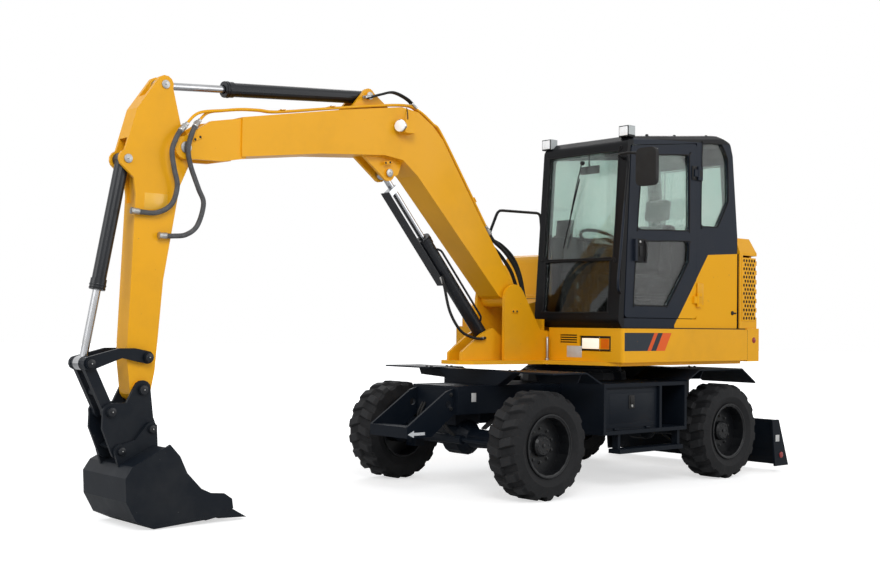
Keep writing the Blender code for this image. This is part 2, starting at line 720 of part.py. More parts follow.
# Name, beam's place along the machine, line of the plate's upper face
FENDERS = (
    ("front", FRONT_AXLE_X - 0.24, [(1.340, FENDER_TOP), (0.955, FENDER_TOP), (0.780, FENDER_TOP - 0.085)]),
    ("rear", REAR_AXLE_X - 0.05, [(-0.330, FENDER_TOP - 0.085), (-0.500, FENDER_TOP),
                                  (-1.125, FENDER_TOP), (-1.330, FENDER_TOP - 0.125)]),
)
for end, beam_x, line in FENDERS:
    foot = GIRDER_TOP + SEAT_GAP
    under = FENDER_TOP - 0.006
    parts = [prism([(-GIRDER_HALF, foot), (GIRDER_HALF, foot), (FENDER_INNER_Y + 0.05, under),
                    (-FENDER_INNER_Y - 0.05, under)], beam_x, beam_x + 0.10, "x")]
    for s in (1, -1):
        parts.append(bent_plate(line, FENDER_THICK, *sorted((s * FENDER_INNER_Y, s * SIDE_Y))))
        middle = line[1][0] + 0.02 if end == "front" else line[1][0] - 0.10
        parts.append(prism([(s * (FENDER_INNER_Y + 0.04), under), (s * (SIDE_Y - 0.03), under),
                            (s * (SIDE_Y - 0.07), FENDER_TOP - 0.085),
                            (s * (FENDER_INNER_Y + 0.10), FENDER_TOP - 0.105)],
                           middle, middle + 0.012, "x"))
    node("fenders_" + end, "undercarriage", fused(*parts), DARK_PAINT)


# Front step: two slanted side plates joined by a cross-beam
def front_step():
    outline = rounded([(STEP_FRONT_X, STEP_BOTTOM), (STEP_FRONT_X, STEP_BOTTOM + STEP_BEAM),
                       (1.720, GIRDER_TOP - 0.040), (GIRDER_FRONT_X + SEAT_GAP, GIRDER_TOP - 0.02),
                       (GIRDER_FRONT_X + SEAT_GAP, GIRDER_BOTTOM), (1.870, STEP_BOTTOM)],
                      [0.005, 0.02, 0.05, 0, 0, 0.04], 3)
    plates = [prism(outline, *sorted((s * (STEP_HALF - STEP_PLATE), s * STEP_HALF))) for s in (1, -1)]
    beam = block((STEP_FRONT_X - 0.12, STEP_FRONT_X), (-STEP_HALF + 0.005, STEP_HALF - 0.005),
                 (STEP_BOTTOM, STEP_BOTTOM + STEP_BEAM))
    back = block((GIRDER_FRONT_X + SEAT_GAP, GIRDER_FRONT_X + 0.015),
                 (-STEP_HALF + 0.005, STEP_HALF - 0.005),
                 (GIRDER_BOTTOM + 0.01, GIRDER_TOP - 0.03))
    hole = drum((1.700, 0, GIRDER_TOP - 0.140), 0.028, STEP_HALF + 0.05, "y", 16)
    return cut(fused(plates[0], plates[1], beam, back), hole)


node("front_step", "undercarriage", front_step(), DARK_PAINT)


# Blade: curved plate with end plates, on two arms
def blade():
    height = BLADE_TOP - BLADE_BOTTOM
    face, back = [], []
    for k in range(7):
        t = k / 6
        x = BLADE_FRONT_X - 0.05 - 0.16 * (1 - t) ** 2 * 1.0 + 0.02 * t
        face.append((x - BLADE_THICK, BLADE_BOTTOM + t * height))
        back.append((x, BLADE_BOTTOM + t * height))
    plate = prism(face + back[::-1], -SIDE_Y + 0.01, SIDE_Y - 0.01)
    ends = []
    for s in (1, -1):
        outline = [(BLADE_FRONT_X, BLADE_TOP), (BLADE_FRONT_X - 0.11, BLADE_TOP),
                   (BLADE_FRONT_X - 0.265, BLADE_BOTTOM), (BLADE_FRONT_X - 0.05, BLADE_BOTTOM)]
        ends.append(prism(outline, *sorted((s * (SIDE_Y - 0.018), s * SIDE_Y))))
    arms = []
    for s in (1, -1):
        low, high = sorted((s * (BLADE_ARM_Y - 0.029), s * (BLADE_ARM_Y + 0.029)))
        outline = rounded([(BLADE_PIVOT_X + 0.04, BLADE_PIVOT_Z + 0.04),
                           (BLADE_PIVOT_X - 0.05, BLADE_PIVOT_Z + 0.045),
                           (BLADE_FRONT_X - 0.075, BLADE_PIVOT_Z - 0.120),
                           (BLADE_FRONT_X - 0.155, BLADE_PIVOT_Z - 0.350),
                           (BLADE_PIVOT_X + 0.03, BLADE_PIVOT_Z - 0.04)], [0.035, 0.03, 0, 0, 0.035])
        arms.append(prism(outline, low, high))
        arms.append(drum((BLADE_PIVOT_X, s * BLADE_ARM_Y, BLADE_PIVOT_Z), 0.032, 0.035 - SEAT_GAP, "y", 16))
    x, z = BLADE_CYLINDER_HEAD
    ear = arc(BLADE_CYLINDER_HEAD, 0.040, 90, -90, 6) + [(BLADE_FRONT_X - 0.08, z - 0.07),
                                                         (BLADE_FRONT_X - 0.08, z + 0.07)]
    ears = [prism(ear, *sorted((s * (BLADE_EYE_HALF + SEAT_GAP),
                                s * (BLADE_EYE_HALF + 0.020)))) for s in (1, -1)]
    return fused(plate, *ends, *arms, *ears)


node("dozer_blade", "blade", blade(), DARK_PAINT)

# Upper structure: deck and the two posts that hold the boom's foot
DECK_TOP = DECK_BOTTOM + DECK_THICK
POST_OUTER_Y = POST_INNER_Y + POST_THICK


def house_frame():
    deck_outline = rounded([(-1.18, -0.95), (0.48, -0.95), (0.70, -0.30), (1.40, -0.19), (1.49, -0.10),
                            (1.49, 0.10),
                            (1.40, 0.19), (0.70, 0.30), (0.48, 0.95), (-1.18, 0.95)], 0.02, 2)
    deck = prism(deck_outline, DECK_BOTTOM, DECK_TOP, "z")
    post = [(-0.20, DECK_TOP - 0.01), (1.045, DECK_TOP - 0.01)]
    post += arc(BOOM_FOOT, 0.115, 0, 150, 7)
    post += [(0.62, SKIRT_TOP - 0.02), (-0.20, 1.20)]
    posts = [prism(post, *sorted((s * POST_INNER_Y, s * POST_OUTER_Y))) for s in (1, -1)]
    ears = []
    ear_low = BOOM_BARREL_RADIUS + MOVE_GAP
    ear = rounded([(0.98, DECK_TOP - 0.01), (1.44, DECK_TOP - 0.01), (1.44, 1.10),
                   (BOOM_CYLINDER_FOOT[0] + 0.10, BOOM_CYLINDER_FOOT[1] + 0.03),
                   (BOOM_CYLINDER_FOOT[0] - 0.03, BOOM_CYLINDER_FOOT[1] + 0.085), (0.98, 1.22)],
                  [0, 0, 0.02, 0.04, 0.04, 0], 3)
    for s in (1, -1):
        ears.append(prism(ear, *sorted((s * ear_low, s * (ear_low + EAR_THICK)))))
    back = block((0.55, 0.58), (-POST_INNER_Y - 0.01, POST_INNER_Y + 0.01), (DECK_TOP - 0.01, 1.38))
    return fused(deck, *posts, *ears, back)


node("house_frame", "house", house_frame(), YELLOW_PAINT)

# Side skirts: closed boxes on the deck, left under the cab and right under the hood
LEFT_SKIRT = [(SPLIT_X + SEAT_GAP, POST_OUTER_Y + 0.01), (HOUSE_FRONT_X, POST_OUTER_Y + 0.01),
              (HOUSE_FRONT_X, SIDE_Y), (SPLIT_X + SEAT_GAP, SIDE_Y)]
LAMP_Y = (0.535, 0.870)        # the headlight's recess
LAMP_Z = (1.120, 1.246)
LAMP_DEPTH = 0.032
LAMP_RIM = 0.014
GRILLE_Y = (0.314, 0.506)      # the louvres beside it
GRILLE_Z = (1.180, 1.258)
GRILLE_SLATS = 4
GRILLE_DEPTH = 0.020


def front_recess(s, y, z, depth):
    return block((HOUSE_FRONT_X - depth, HOUSE_FRONT_X + 0.01), sorted((s * y[0], s * y[1])), z)


for side, s in SIDES:
    outline = rounded([(x, s * y) for x, y in LEFT_SKIRT], [0, 0, 0.03, 0], 3)
    skirt = prism(outline, DECK_TOP + SEAT_GAP, SKIRT_TOP, "z")
    cutters = [front_recess(s, LAMP_Y, LAMP_Z, LAMP_DEPTH)]
    pitch = (GRILLE_Z[1] - GRILLE_Z[0]) / GRILLE_SLATS
    for k in range(GRILLE_SLATS):
        low = GRILLE_Z[0] + (k + 0.25) * pitch
        cutters.append(front_recess(s, GRILLE_Y, (low, low + 0.55 * pitch), GRILLE_DEPTH))
    lamp_unit = block((HOUSE_FRONT_X - LAMP_DEPTH - 0.01, HOUSE_FRONT_X - 0.008),
                      sorted((s * (LAMP_Y[0] + LAMP_RIM), s * (LAMP_Y[1] - LAMP_RIM))),
                      (LAMP_Z[0] + LAMP_RIM, LAMP_Z[1] - LAMP_RIM))
    node("skirt_" + side, "house", fused(cut(skirt, *cutters), lamp_unit), YELLOW_PAINT)


def tail_line(inset=0.0):
    """The rounded tail in plan, from the left corner to the right one."""
    side = SIDE_Y - inset
    points = []
    for k in range(13):
        t = 1 - 2 * k / 12
        points.append((TAIL_X + inset + (TAIL_CORNER_X - TAIL_X) * abs(t) ** 2.4, side * t))
    return points


counterweight_outline = [(SPLIT_X - SEAT_GAP, SIDE_Y)] + tail_line() + [(SPLIT_X - SEAT_GAP, -SIDE_Y)]
node("counterweight", "house", prism(counterweight_outline, DECK_BOTTOM + 0.02, SKIRT_TOP + 0.010, "z"),
     YELLOW_PAINT)

# Engine hood: a shell behind the cab and across the tail, open below
CAB_BACK_X = -1.090
HOOD_BOTTOM = SKIRT_TOP + 0.010 + SEAT_GAP


HOOD_EDGE = 0.130          # height of the sloped edge round the top
HOOD_SLOPE = 0.050         # and how far it leans in


def hood_plan(inset, lean=0.0):
    line = tail_line(0.015 + inset + lean)
    front = CAB_BACK_X - 0.012 - inset
    return [(front, line[0][1])] + line + [(-0.62 - inset, line[-1][1]),
                                           (-0.62 - inset, CAB_RIGHT_Y - 0.02 - inset),
                                           (front, CAB_RIGHT_Y - 0.02 - inset)]


def engine_hood():
    edge = HOOD_TOP + 0.020 - HOOD_EDGE
    shell = fused(prism(hood_plan(0.0), HOOD_BOTTOM, edge, "z"),
                  loft(hood_plan(0.0), edge, hood_plan(0.0, HOOD_SLOPE), HOOD_TOP + 0.020, "z"))
    inside = fused(prism(hood_plan(HOOD_WALL), HOOD_BOTTOM - 0.02, edge, "z"),
                   loft(hood_plan(HOOD_WALL), edge, hood_plan(HOOD_WALL, HOOD_SLOPE),
                        HOOD_TOP + 0.020 - HOOD_WALL, "z"))
    slots = []
    for k in range(7):
        z = 1.42 + 0.085 * k
        slots.append(block((TAIL_X - 0.05, CAB_BACK_X - 0.06), (0.90, 1.05), (z, z + 0.045)))
    return cut(shell, inside, *slots)


node("engine_hood", "house", engine_hood(), YELLOW_PAINT)
node("engine_block", "house", block((-1.46, -1.16), (-0.55, 0.30), (HOOD_BOTTOM, 1.93)), DARK_PAINT)

# Right hood: tanks and valves beside the boom, stepped down at the front
right_profile = rounded([(-0.61, SKIRT_TOP + SEAT_GAP), (0.46, SKIRT_TOP + SEAT_GAP), (0.46, 1.50),
                         (-0.02, 1.60),
                         (-0.10, RIGHT_HOOD_TOP), (-0.61, RIGHT_HOOD_TOP)], [0, 0, 0.06, 0.03, 0.10, 0], 4)
right_hood = prism(right_profile, -0.965, -POST_OUTER_Y - 0.01)
rail = bent([(0.30, -0.90, 1.50), (0.205, -0.90, 2.146), (0.074, -0.90, 2.410), (-0.50, -0.90, 2.420),
             (-0.56, -0.90, 1.95)], 0.05)
node("right_hood", "house", fused(right_hood, pipe(rail, 0.014)), YELLOW_PAINT)

# Cab shell: a hollow with its window openings
CAB_BOTTOM = SKIRT_TOP + SEAT_GAP
CAB_SIDE = [(-1.080, CAB_BOTTOM), (0.500, CAB_BOTTOM), (0.548, 1.370), (0.440, 2.830), (0.370, 2.890),
            (-0.800, 3.020), (-0.970, 2.960), (-1.010, 2.850), (-1.085, 2.130)]


def inset_line(outline, distance):
    """The outline moved inward by a distance."""
    count = len(outline)
    area = sum(outline[i][0] * outline[(i + 1) % count][1] - outline[(i + 1) % count][0] * outline[i][1]
               for i in range(count))
    way = 1 if area > 0 else -1
    moved = []
    for i in range(count):
        last, here, after = (Vector(outline[k % count]) for k in (i - 1, i, i + 1))
        first = (here - last).normalized()
        second = (after - here).normalized()
        normal_a = Vector((-first.y, first.x)) * way
        normal_b = Vector((-second.y, second.x)) * way
        middle = (normal_a + normal_b).normalized()
        moved.append(tuple(here + middle * (distance / max(middle.dot(normal_a), 0.3))))
    return moved


def windscreen_x(z):
    """Outer face of the windscreen at a height."""
    low, high = CAB_SIDE[2], CAB_SIDE[3]
    return low[0] + (high[0] - low[0]) * (z - low[1]) / (high[1] - low[1])


SIDE_WINDOWS = {
    "rear_left": [(-0.545, 2.200), (-0.560, 2.915), (-0.840, 2.945), (-0.935, 2.820), (-0.945, 2.440),
                  (-0.790, 2.205)],
}
DOOR_LINE = [(DOOR_REAR_X, 1.400), (DOOR_FRONT_X + 0.075, 1.400), (DOOR_FRONT_X, 2.800),
             (DOOR_REAR_X, 2.905)]
DOOR_UPPER = [(0.320, 2.120), (0.255, 2.735), (-0.372, 2.800), (-0.378, 2.150)]
DOOR_LOWER = [(0.365, 1.500), (0.325, 2.020), (-0.375, 2.060), (-0.370, 1.880), (-0.080, 1.500)]
RIGHT_WINDOW = [(0.420, 1.560), (0.340, 2.760), (-0.860, 2.890), (-0.960, 2.800), (-0.990, 2.200),
                (-0.400, 2.120),
                (-0.330, 1.560)]
SCREEN_UPPER = (0.110, 0.880, 1.885, 2.760)
SCREEN_LOWER = (0.140, 0.850, 1.440, 1.865)
REAR_WINDOW = (0.160, 0.860, 2.180, 2.780)


HINGE_HEIGHTS = (1.560, 2.650)
KNUCKLE = 0.030            # half height of a hinge's middle knuckle


def hinge_leaf(z, way):
    """A leaf with its knuckles on the hinge's axis; way is 1 on the door and -1 on the cab."""
    x, y, _ = DOOR_HINGE
    parts = []
    levels = [(z - KNUCKLE, z + KNUCKLE)]
    if way < 0:
        outside = KNUCKLE + SEAT_GAP
        levels = [(z - outside - 0.028, z - outside), (z + outside, z + outside + 0.028)]
    for low, high in levels:
        parts.append(drum((x, y, (low + high) / 2), 0.012, (high - low) / 2, "z", 14))
        parts.append(block(sorted((x, x + way * 0.055)), (CAB_LEFT_Y - 0.01, y + 0.004), (low, high)))
    return fused(*parts) if way > 0 else parts


def roof_z(x):
    low, high = CAB_SIDE[4], CAB_SIDE[5]
    return low[1] + (high[1] - low[1]) * (x - low[0]) / (high[0] - low[0])


def cab_section(x):
    """The cab seen from the front, at a place along it: (y, z)."""
    top = roof_z(x) + 0.002
    low = CAB_BOTTOM
    return rounded([(CAB_RIGHT_Y, low), (CAB_LEFT_Y, low), (CAB_LEFT_Y, top), (CAB_RIGHT_Y, top)],
                   [0.110, 0, 0.080, 0.080], 3)


# Work lamps on the roof's front corners: centre, and half sizes
ROOF_LAMPS = ((0.375, 0.905, 2.922), (0.400, 0.065, 2.890))
ROOF_LAMP_HALF = (0.040, 0.052, 0.046)
# Grab rail along the front left pillar
PILLAR_RAIL = [(0.425, 0.955, 2.715), (0.470, 1.000, 2.650), (0.590, 1.000, 1.690), (0.580, 0.995, 1.620),
               (0.500, 0.955, 1.590)]


def cab_shell():
    outer = prism(rounded(CAB_SIDE, [0.02, 0.04, 0.05, 0.05, 0.04, 0.08, 0.06, 0.04, 0.01], 3),
                  CAB_RIGHT_Y, CAB_LEFT_Y)
    outer = common(outer, loft(cab_section(-1.2), -1.2, cab_section(0.7), 0.7, "x"))
    inner = prism(inset_line(CAB_SIDE, CAB_WALL), CAB_RIGHT_Y + CAB_WALL, CAB_LEFT_Y - CAB_WALL)
    cutters = [prism(rounded(SIDE_WINDOWS["rear_left"], 0.04, 2), CAB_LEFT_Y - CAB_WALL - 0.02,
                     CAB_LEFT_Y + 0.02)]
    door = inset_line(DOOR_LINE, -MOVE_GAP)
    cutters.append(prism(door, CAB_LEFT_Y - CAB_WALL - 0.02, CAB_LEFT_Y + 0.02))
    cutters.append(prism(rounded(RIGHT_WINDOW, 0.04, 2), CAB_RIGHT_Y - 0.02, CAB_RIGHT_Y + CAB_WALL + 0.02))
    for y0, y1, z0, z1 in (SCREEN_UPPER, SCREEN_LOWER):
        cutters.append(block((0.30, 0.70), (y0, y1), (z0, z1)))
    y0, y1, z0, z1 = REAR_WINDOW
    cutters.append(block((-1.20, -0.90), (y0, y1), (z0, z1)))
    fittings = [leaf for z in HINGE_HEIGHTS for leaf in hinge_leaf(z, -1)]
    for centre in ROOF_LAMPS:
        limits = [(c - half, c + half) for c, half in zip(centre, ROOF_LAMP_HALF)]
        fittings.append(block(*limits))
    fittings.append(pipe(bent(PILLAR_RAIL, 0.04), 0.011))
    return fused(cut(outer, inner, *cutters), *fittings)


node("cab_shell", "house", cab_shell(), BLACK_PAINT)


def pane_outline(outline):
    return inset_line(rounded(outline, 0.04, 2), SEAT_GAP)


pane_y = CAB_LEFT_Y - CAB_WALL / 2
node("glass_rear_left", "house", prism(pane_outline(SIDE_WINDOWS["rear_left"]), pane_y,
                                       pane_y + GLASS_THICK), GLAZING)
pane_y = CAB_RIGHT_Y + CAB_WALL / 2
node("glass_right", "house", prism(pane_outline(RIGHT_WINDOW), pane_y - GLASS_THICK, pane_y), GLAZING)


def screen(limits):
    y0, y1, z0, z1 = limits
    z0, z1, y0, y1 = z0 + SEAT_GAP, z1 - SEAT_GAP, y0 + SEAT_GAP, y1 - SEAT_GAP
    outline = [(windscreen_x(z0) - 0.020, z0), (windscreen_x(z1) - 0.020, z1),
               (windscreen_x(z1) - 0.020 - GLASS_THICK, z1), (windscreen_x(z0) - 0.020 - GLASS_THICK, z0)]
    return prism(outline, y0, y1)


node("windscreen_upper", "house", screen(SCREEN_UPPER), GLAZING)
node("windscreen_lower", "house", screen(SCREEN_LOWER), GLAZING)
y0, y1, z0, z1 = REAR_WINDOW


def back_x(z):
    low, high = CAB_SIDE[8], CAB_SIDE[7]
    return low[0] + (high[0] - low[0]) * (z - low[1]) / (high[1] - low[1])


node("glass_rear", "house",
     prism([(back_x(z0) + 0.02, z0 + SEAT_GAP), (back_x(z1) + 0.02, z1 - SEAT_GAP),
            (back_x(z1) + 0.02 + GLASS_THICK, z1 - SEAT_GAP), (back_x(z0) + 0.02 + GLASS_THICK,
                                                               z0 + SEAT_GAP)],
           y0 + SEAT_GAP, y1 - SEAT_GAP), GLAZING)

# Cab door, hinged at its rear edge; its hinges' knuckles turn between those of the cab
door_panel = prism(rounded(DOOR_LINE, 0.03, 3), CAB_LEFT_Y - DOOR_THICK, CAB_LEFT_Y + 0.004)
door_panel = cut(door_panel,
                 prism(rounded(DOOR_UPPER, 0.04, 2), CAB_LEFT_Y - 0.10, CAB_LEFT_Y + 0.05),
                 prism(rounded(DOOR_LOWER, 0.04, 2), CAB_LEFT_Y - 0.10, CAB_LEFT_Y + 0.05))
door_handle = block((0.345, 0.372), (CAB_LEFT_Y - 0.01, CAB_LEFT_Y + 0.030), (1.860, 2.040))
door_panel = fused(door_panel, door_handle, *[hinge_leaf(z, 1) for z in HINGE_HEIGHTS])
node("cab_door", "door", door_panel, BLACK_PAINT)
for name, outline in (("door_glass_upper", DOOR_UPPER), ("door_glass_lower", DOOR_LOWER)):
    node(name, "door", prism(pane_outline(outline), CAB_LEFT_Y - 0.024, CAB_LEFT_Y - 0.024 + GLASS_THICK),
         GLAZING)

# Inside the cab: seat, consoles and steering column
floor_z = CAB_BOTTOM + CAB_WALL + SEAT_GAP
seat = fused(block((-0.48, -0.02), (0.29, 0.73), (floor_z, floor_z + 0.22)),
             block((-0.52, 0.06), (0.26, 0.76), (floor_z + 0.20, floor_z + 0.42)),
             prism(rounded([(-0.46, floor_z + 0.36), (-0.32, floor_z + 0.36), (-0.47, floor_z + 1.12),
                            (-0.58, floor_z + 1.12)], 0.03, 2), 0.28, 0.74))
console = fused(block((-0.50, 0.10), (0.095, 0.262), (floor_z, floor_z + 0.48)),
                bar((0.02, 0.165, floor_z + 0.45), (0.05, 0.165, floor_z + 0.68), 0.012, 8),
                bar((0.05, 0.165, floor_z + 0.66), (0.06, 0.165, floor_z + 0.76), 0.024, 10))
node("operator_seat", "house", fused(seat, console), (BLACK, 0.85))
hub = Vector((0.245, 0.51, floor_z + 0.70))
lean = Vector((-0.42, 0, 0.91)).normalized()
column = bar((0.40, 0.51, floor_z), hub + lean * 0.0, 0.030, 12)
wheel_ring = turned([(0.168 + 0.014 * cos(a * pi / 3), 0.014 * sin(a * pi / 3)) for a in range(6)],
                    (0, 0, 0), "z", 20)
spokes = [block((-0.165, 0.165), (-0.014, 0.014), (-0.012, 0.006))]
wheel_ring = fused(wheel_ring, *spokes)
wheel_ring.data.transform(Matrix.Translation(hub) @ lean.to_track_quat("Z", "Y").to_matrix().to_4x4())
below_floor = block((0.0, 0.6), (0.3, 0.7), (floor_z - 0.2, floor_z))
node("steering_wheel", "house", cut(fused(column, wheel_ring), below_floor), BLACK_PAINT)

# Mirror on the front left pillar, its arm bent round the corner
mirror_z = 2.580
mirror = prism(rounded([(1.190, mirror_z - 0.150), (1.390, mirror_z - 0.150), (1.390, mirror_z + 0.150),
                        (1.190, mirror_z + 0.150)], 0.045, 3), 0.575, 0.612, "x")
stalk_z = mirror_z + 0.110
stalk = pipe(bent([(windscreen_x(stalk_z) - 0.004, 0.930, stalk_z), (0.560, 0.965, stalk_z + 0.020),
                   (0.590, 1.100, stalk_z + 0.020), (0.590, 1.215, stalk_z)], 0.03), 0.011)
mirror = cut(fused(mirror, stalk), prism(CAB_SIDE, CAB_RIGHT_Y - SEAT_GAP, CAB_LEFT_Y + SEAT_GAP))
node("mirror_left", "house", mirror, BLACK_PAINT)

# Boom: box girder with a kink, fork at its tip, ears for three cylinders
def boom():
    foot = arc(BOOM_FOOT, 0.105, 225, 405 - 250, 7)
    outline = foot + [
        (1.225, 2.120), (1.700, 2.790), (1.810, 2.890), (1.960, 2.978), (2.130, 2.998), (2.720, 2.902),
        (3.560, 2.745),
        (3.560, 2.470), (2.890, 2.560), (2.290, 2.610), (2.110, 2.590), (1.960, 2.480), (1.060, 1.565)]
    box = prism(outline, -BOOM_HALF, BOOM_HALF)
    cheeks = []
    cheek = [(3.520, 2.745), (3.520, 2.462), (3.700, 2.425), (3.900, 2.418)]
    cheek += arc(ARM_PIVOT, 0.080, -80, 90, 7)
    cheek += [(3.800, 2.690)]
    for s in (1, -1):
        cheeks.append(prism(cheek, *sorted((s * (ARM_HALF + MOVE_GAP), s * FORK_HALF))))
    ears = []
    lower_ear = [(2.06, 2.60), (2.11, 2.48)] + arc(BOOM_CYLINDER_HEAD, 0.062, 200, 320,
                                                   5) + [(2.46, 2.60), (2.30, 2.66)]
    upper_ear = [(2.16, 2.94), (2.30, 2.93)] + [(2.62, 2.90)] + arc(ARM_CYLINDER_FOOT, 0.058, 20, 150, 6)
    caps = []
    for pin, ear, near in ((BOOM_CYLINDER_HEAD, lower_ear, EYE_HALF + SEAT_GAP),
                           (ARM_CYLINDER_FOOT, upper_ear, ARM_BARREL_RADIUS + MOVE_GAP)):
        for s in (1, -1):
            far = near + EAR_THICK
            ears.append(prism(ear, *sorted((s * near, s * far))))
            caps.append(drum((pin[0], s * far, pin[1]), 0.032, 0.012, "y", 14))
    boss = drum(at(BOOM_FOOT), 0.075, POST_INNER_Y - SEAT_GAP, "y", 20)
    pocket = block((2.08, 2.25), (-EYE_HALF - SEAT_GAP, EYE_HALF + SEAT_GAP), (2.40, 2.640))
    return cut(fused(box, boss, *cheeks, *ears, *caps), pocket)


boom_lamp = block((2.060, 2.160), (BOOM_HALF - 0.01, BOOM_HALF + 0.085), (2.790, 2.890))
node("boom", "boom", fused(boom(), boom_lamp), YELLOW_PAINT)


# Two steel pipes along the boom's top, with the hoses from them to the arm's cylinder
PIPE_RADIUS = 0.010
PIPE_LIFT = 0.016          # of a pipe's middle over the boom's top face
# Place across the boom, and the front end, of each pipe
BOOM_PIPES = ((0.094, [(3.820, 2.745), (3.897, 2.668)]), (0.116, [(3.900, 2.732), (4.005, 2.632)]))
PIPE_LINE = [(1.195, 2.112), (1.686, 2.806), (1.800, 2.906), (1.955, 2.994), (2.130, 2.998 + PIPE_LIFT),
             (2.720, 2.902 + PIPE_LIFT), (3.250, 2.822), (3.420, 2.812), (3.560, 2.800), (3.700, 2.775)]
# Start and end, as (x, z) of the boom's top face under each clip
CLIPS = (((1.350, 2.296), (1.390, 2.353)), ((2.760, 2.895), (2.810, 2.885)),
         ((3.200, 2.812), (3.250, 2.803)))


def boom_pipes():
    pipes = [pipe(bent([(x, y, z) for x, z in PIPE_LINE + end], 0.10, 2), PIPE_RADIUS, 1) for y,
             end in BOOM_PIPES]
    clips = []
    for (x0, z0), (x1, z1) in CLIPS:
        up = Vector((z0 - z1, x1 - x0)).normalized()
        foot, head = up * SEAT_GAP, up * (PIPE_LIFT + PIPE_RADIUS + 0.004)
        line = [(x0 + foot.x, z0 + foot.y), (x1 + foot.x, z1 + foot.y), (x1 + head.x, z1 + head.y),
                (x0 + head.x, z0 + head.y)]
        clips.append(prism(line, BOOM_PIPES[0][0] - 0.008, BOOM_PIPES[1][0] + 0.006))
    loops = [hose([(1.985, y, 3.008), (2.005, y, 3.024), (2.080, y, 3.070), (2.211, y, 3.100),
                   (2.329, y, 3.070),
                   (2.440, y, 3.032), (2.490, y, 3.026)], 0.0095) for y in (0.107, 0.128)]
    loops.append(block((2.482, 2.522), (0.0935, 0.139), (3.008, 3.044)))
    return fused(pipes[0], *clips, pipes[1], *loops)


node("boom_pipes", "boom", boom_pipes(), YELLOW_PAINT)

# Braided hoses from the boom's pipes to the arm: the front one to the bucket's cylinder, the rear one
# to a stop valve on the arm's side
HOSE_RADIUS = 0.017
FRONT_HOSE = [(4.0053, 0.116, 2.6317), (4.014, 0.116, 2.6234), (4.048, 0.128, 2.588), (4.083, 0.137, 2.530),
              (4.108, 0.138, 2.450), (4.089, 0.136, 2.339), (4.057, 0.126, 2.223), (4.090, 0.113, 2.102),
              (4.190, 0.106, 2.040), (4.300, 0.102, 2.036), (4.360, 0.100, 2.040), (4.372, 0.100, 2.041)]
REAR_HOSE = [(3.8973, 0.094, 2.6677), (3.906, 0.094, 2.659), (3.948, 0.132, 2.612), (3.976, 0.138, 2.540),
             (3.988, 0.138, 2.468), (3.962, 0.131, 2.364), (3.895, 0.122, 2.220), (3.852, 0.118, 2.121),
             (3.894, 0.114, 1.973), (3.974, 0.108, 1.907), (4.070, 0.104, 1.892), (4.160, 0.102, 1.890),
             (4.172, 0.102, 1.890)]
front_clamp = block((4.215, 4.285), (ARM_HALF + SEAT_GAP, 0.110), (2.020, 2.046))
node("arm_hose_front", "arm", fused(hose(FRONT_HOSE, HOSE_RADIUS), front_clamp), RUBBERY)
stop_valve = fused(block((4.155, 4.200), (ARM_HALF + SEAT_GAP, 0.112), (1.740, 1.915)),
                   drum((4.178, 0.105, 1.790), 0.026, 0.024, "y", 10))
node("arm_hose_rear", "arm", fused(hose(REAR_HOSE, HOSE_RADIUS), stop_valve), RUBBERY)

# Hoses from the boom's pipes down into the house, held together by a clamp
FOOT_HOSES = ((0.094, [(1.1947, 2.1115), (1.188, 2.102), (1.130, 2.036), (1.000, 1.985), (0.870, 1.890),
                       (0.785, 1.750),
                       (0.735, 1.580), (0.690, 1.420), (0.640, 1.310), (0.595, 1.262), (0.5803, 1.262)]),
              (0.116, [(1.1947, 2.1115), (1.188, 2.102), (1.120, 2.020), (0.990, 1.935), (0.865, 1.810),
                       (0.790, 1.660),
                       (0.730, 1.490), (0.685, 1.350), (0.640, 1.240), (0.595, 1.190), (0.5803, 1.190)]))


def foot_hoses():
    upper, lower = [hose([(x, y, z) for x, z in line], 0.0150) for y, line in FOOT_HOSES]
    return fused(upper, block((0.775, 0.830), (0.080, 0.130), (1.690, 1.735)), lower)


node("foot_hoses", "boom", foot_hoses(), RUBBERY)


# A hydraulic cylinder, from its foot's pin to its rod's pin
def cylinder_way(foot, head):
    foot, head = Vector(at(foot)), Vector(at(head))
    return foot, head, (head - foot).normalized(), (head - foot).length


def barrel(foot, head, length, radius):
    foot, head, way, _ = cylinder_way(foot, head)
    eye = drum(foot, EYE_RADIUS, radius + MOVE_GAP - SEAT_GAP, "y", 18)
    tube = bar(foot + way * 0.02, foot + way * length, radius, 20)
    gland = bar(foot + way * (length - 0.05), foot + way * (length + 0.02), radius + 0.006, 20)
    tube = fused(eye, tube, gland)
    return cut(tube, bar(foot + way * 0.09, foot + way * (length + 0.05), CYLINDER_ROD + MOVE_GAP, 14))


def rod(foot, head, length, eye_half=EYE_HALF):
    foot, head, way, _ = cylinder_way(foot, head)
    eye = drum(head, EYE_RADIUS, eye_half, "y", 18)
    shaft = bar(foot + way * (length - 0.12), head - way * 0.02, CYLINDER_ROD, 14)
    return fused(shaft, eye)


# Name, foot pin, rod pin, barrel length, barrel radius
CYLINDERS = (
    ("boom", BOOM_CYLINDER_FOOT, BOOM_CYLINDER_HEAD, 1.020, BOOM_BARREL_RADIUS),
    ("arm", ARM_CYLINDER_FOOT, ARM_CYLINDER_HEAD, 1.205, ARM_BARREL_RADIUS),
    ("bucket", BUCKET_CYLINDER_FOOT, LINK_HEAD, 0.850, BUCKET_BARREL_RADIUS),
)
GUARD = (0.620, 1.540)     # the boom rod's guard, from and to, along the cylinder
GUARD_OFFSET = 0.078       # in front of the cylinder's middle line
GUARD_HALF = 0.050
GUARD_THICK = 0.005
FEED = (0.150, 0.900)      # the pipe along a barrel, from and to


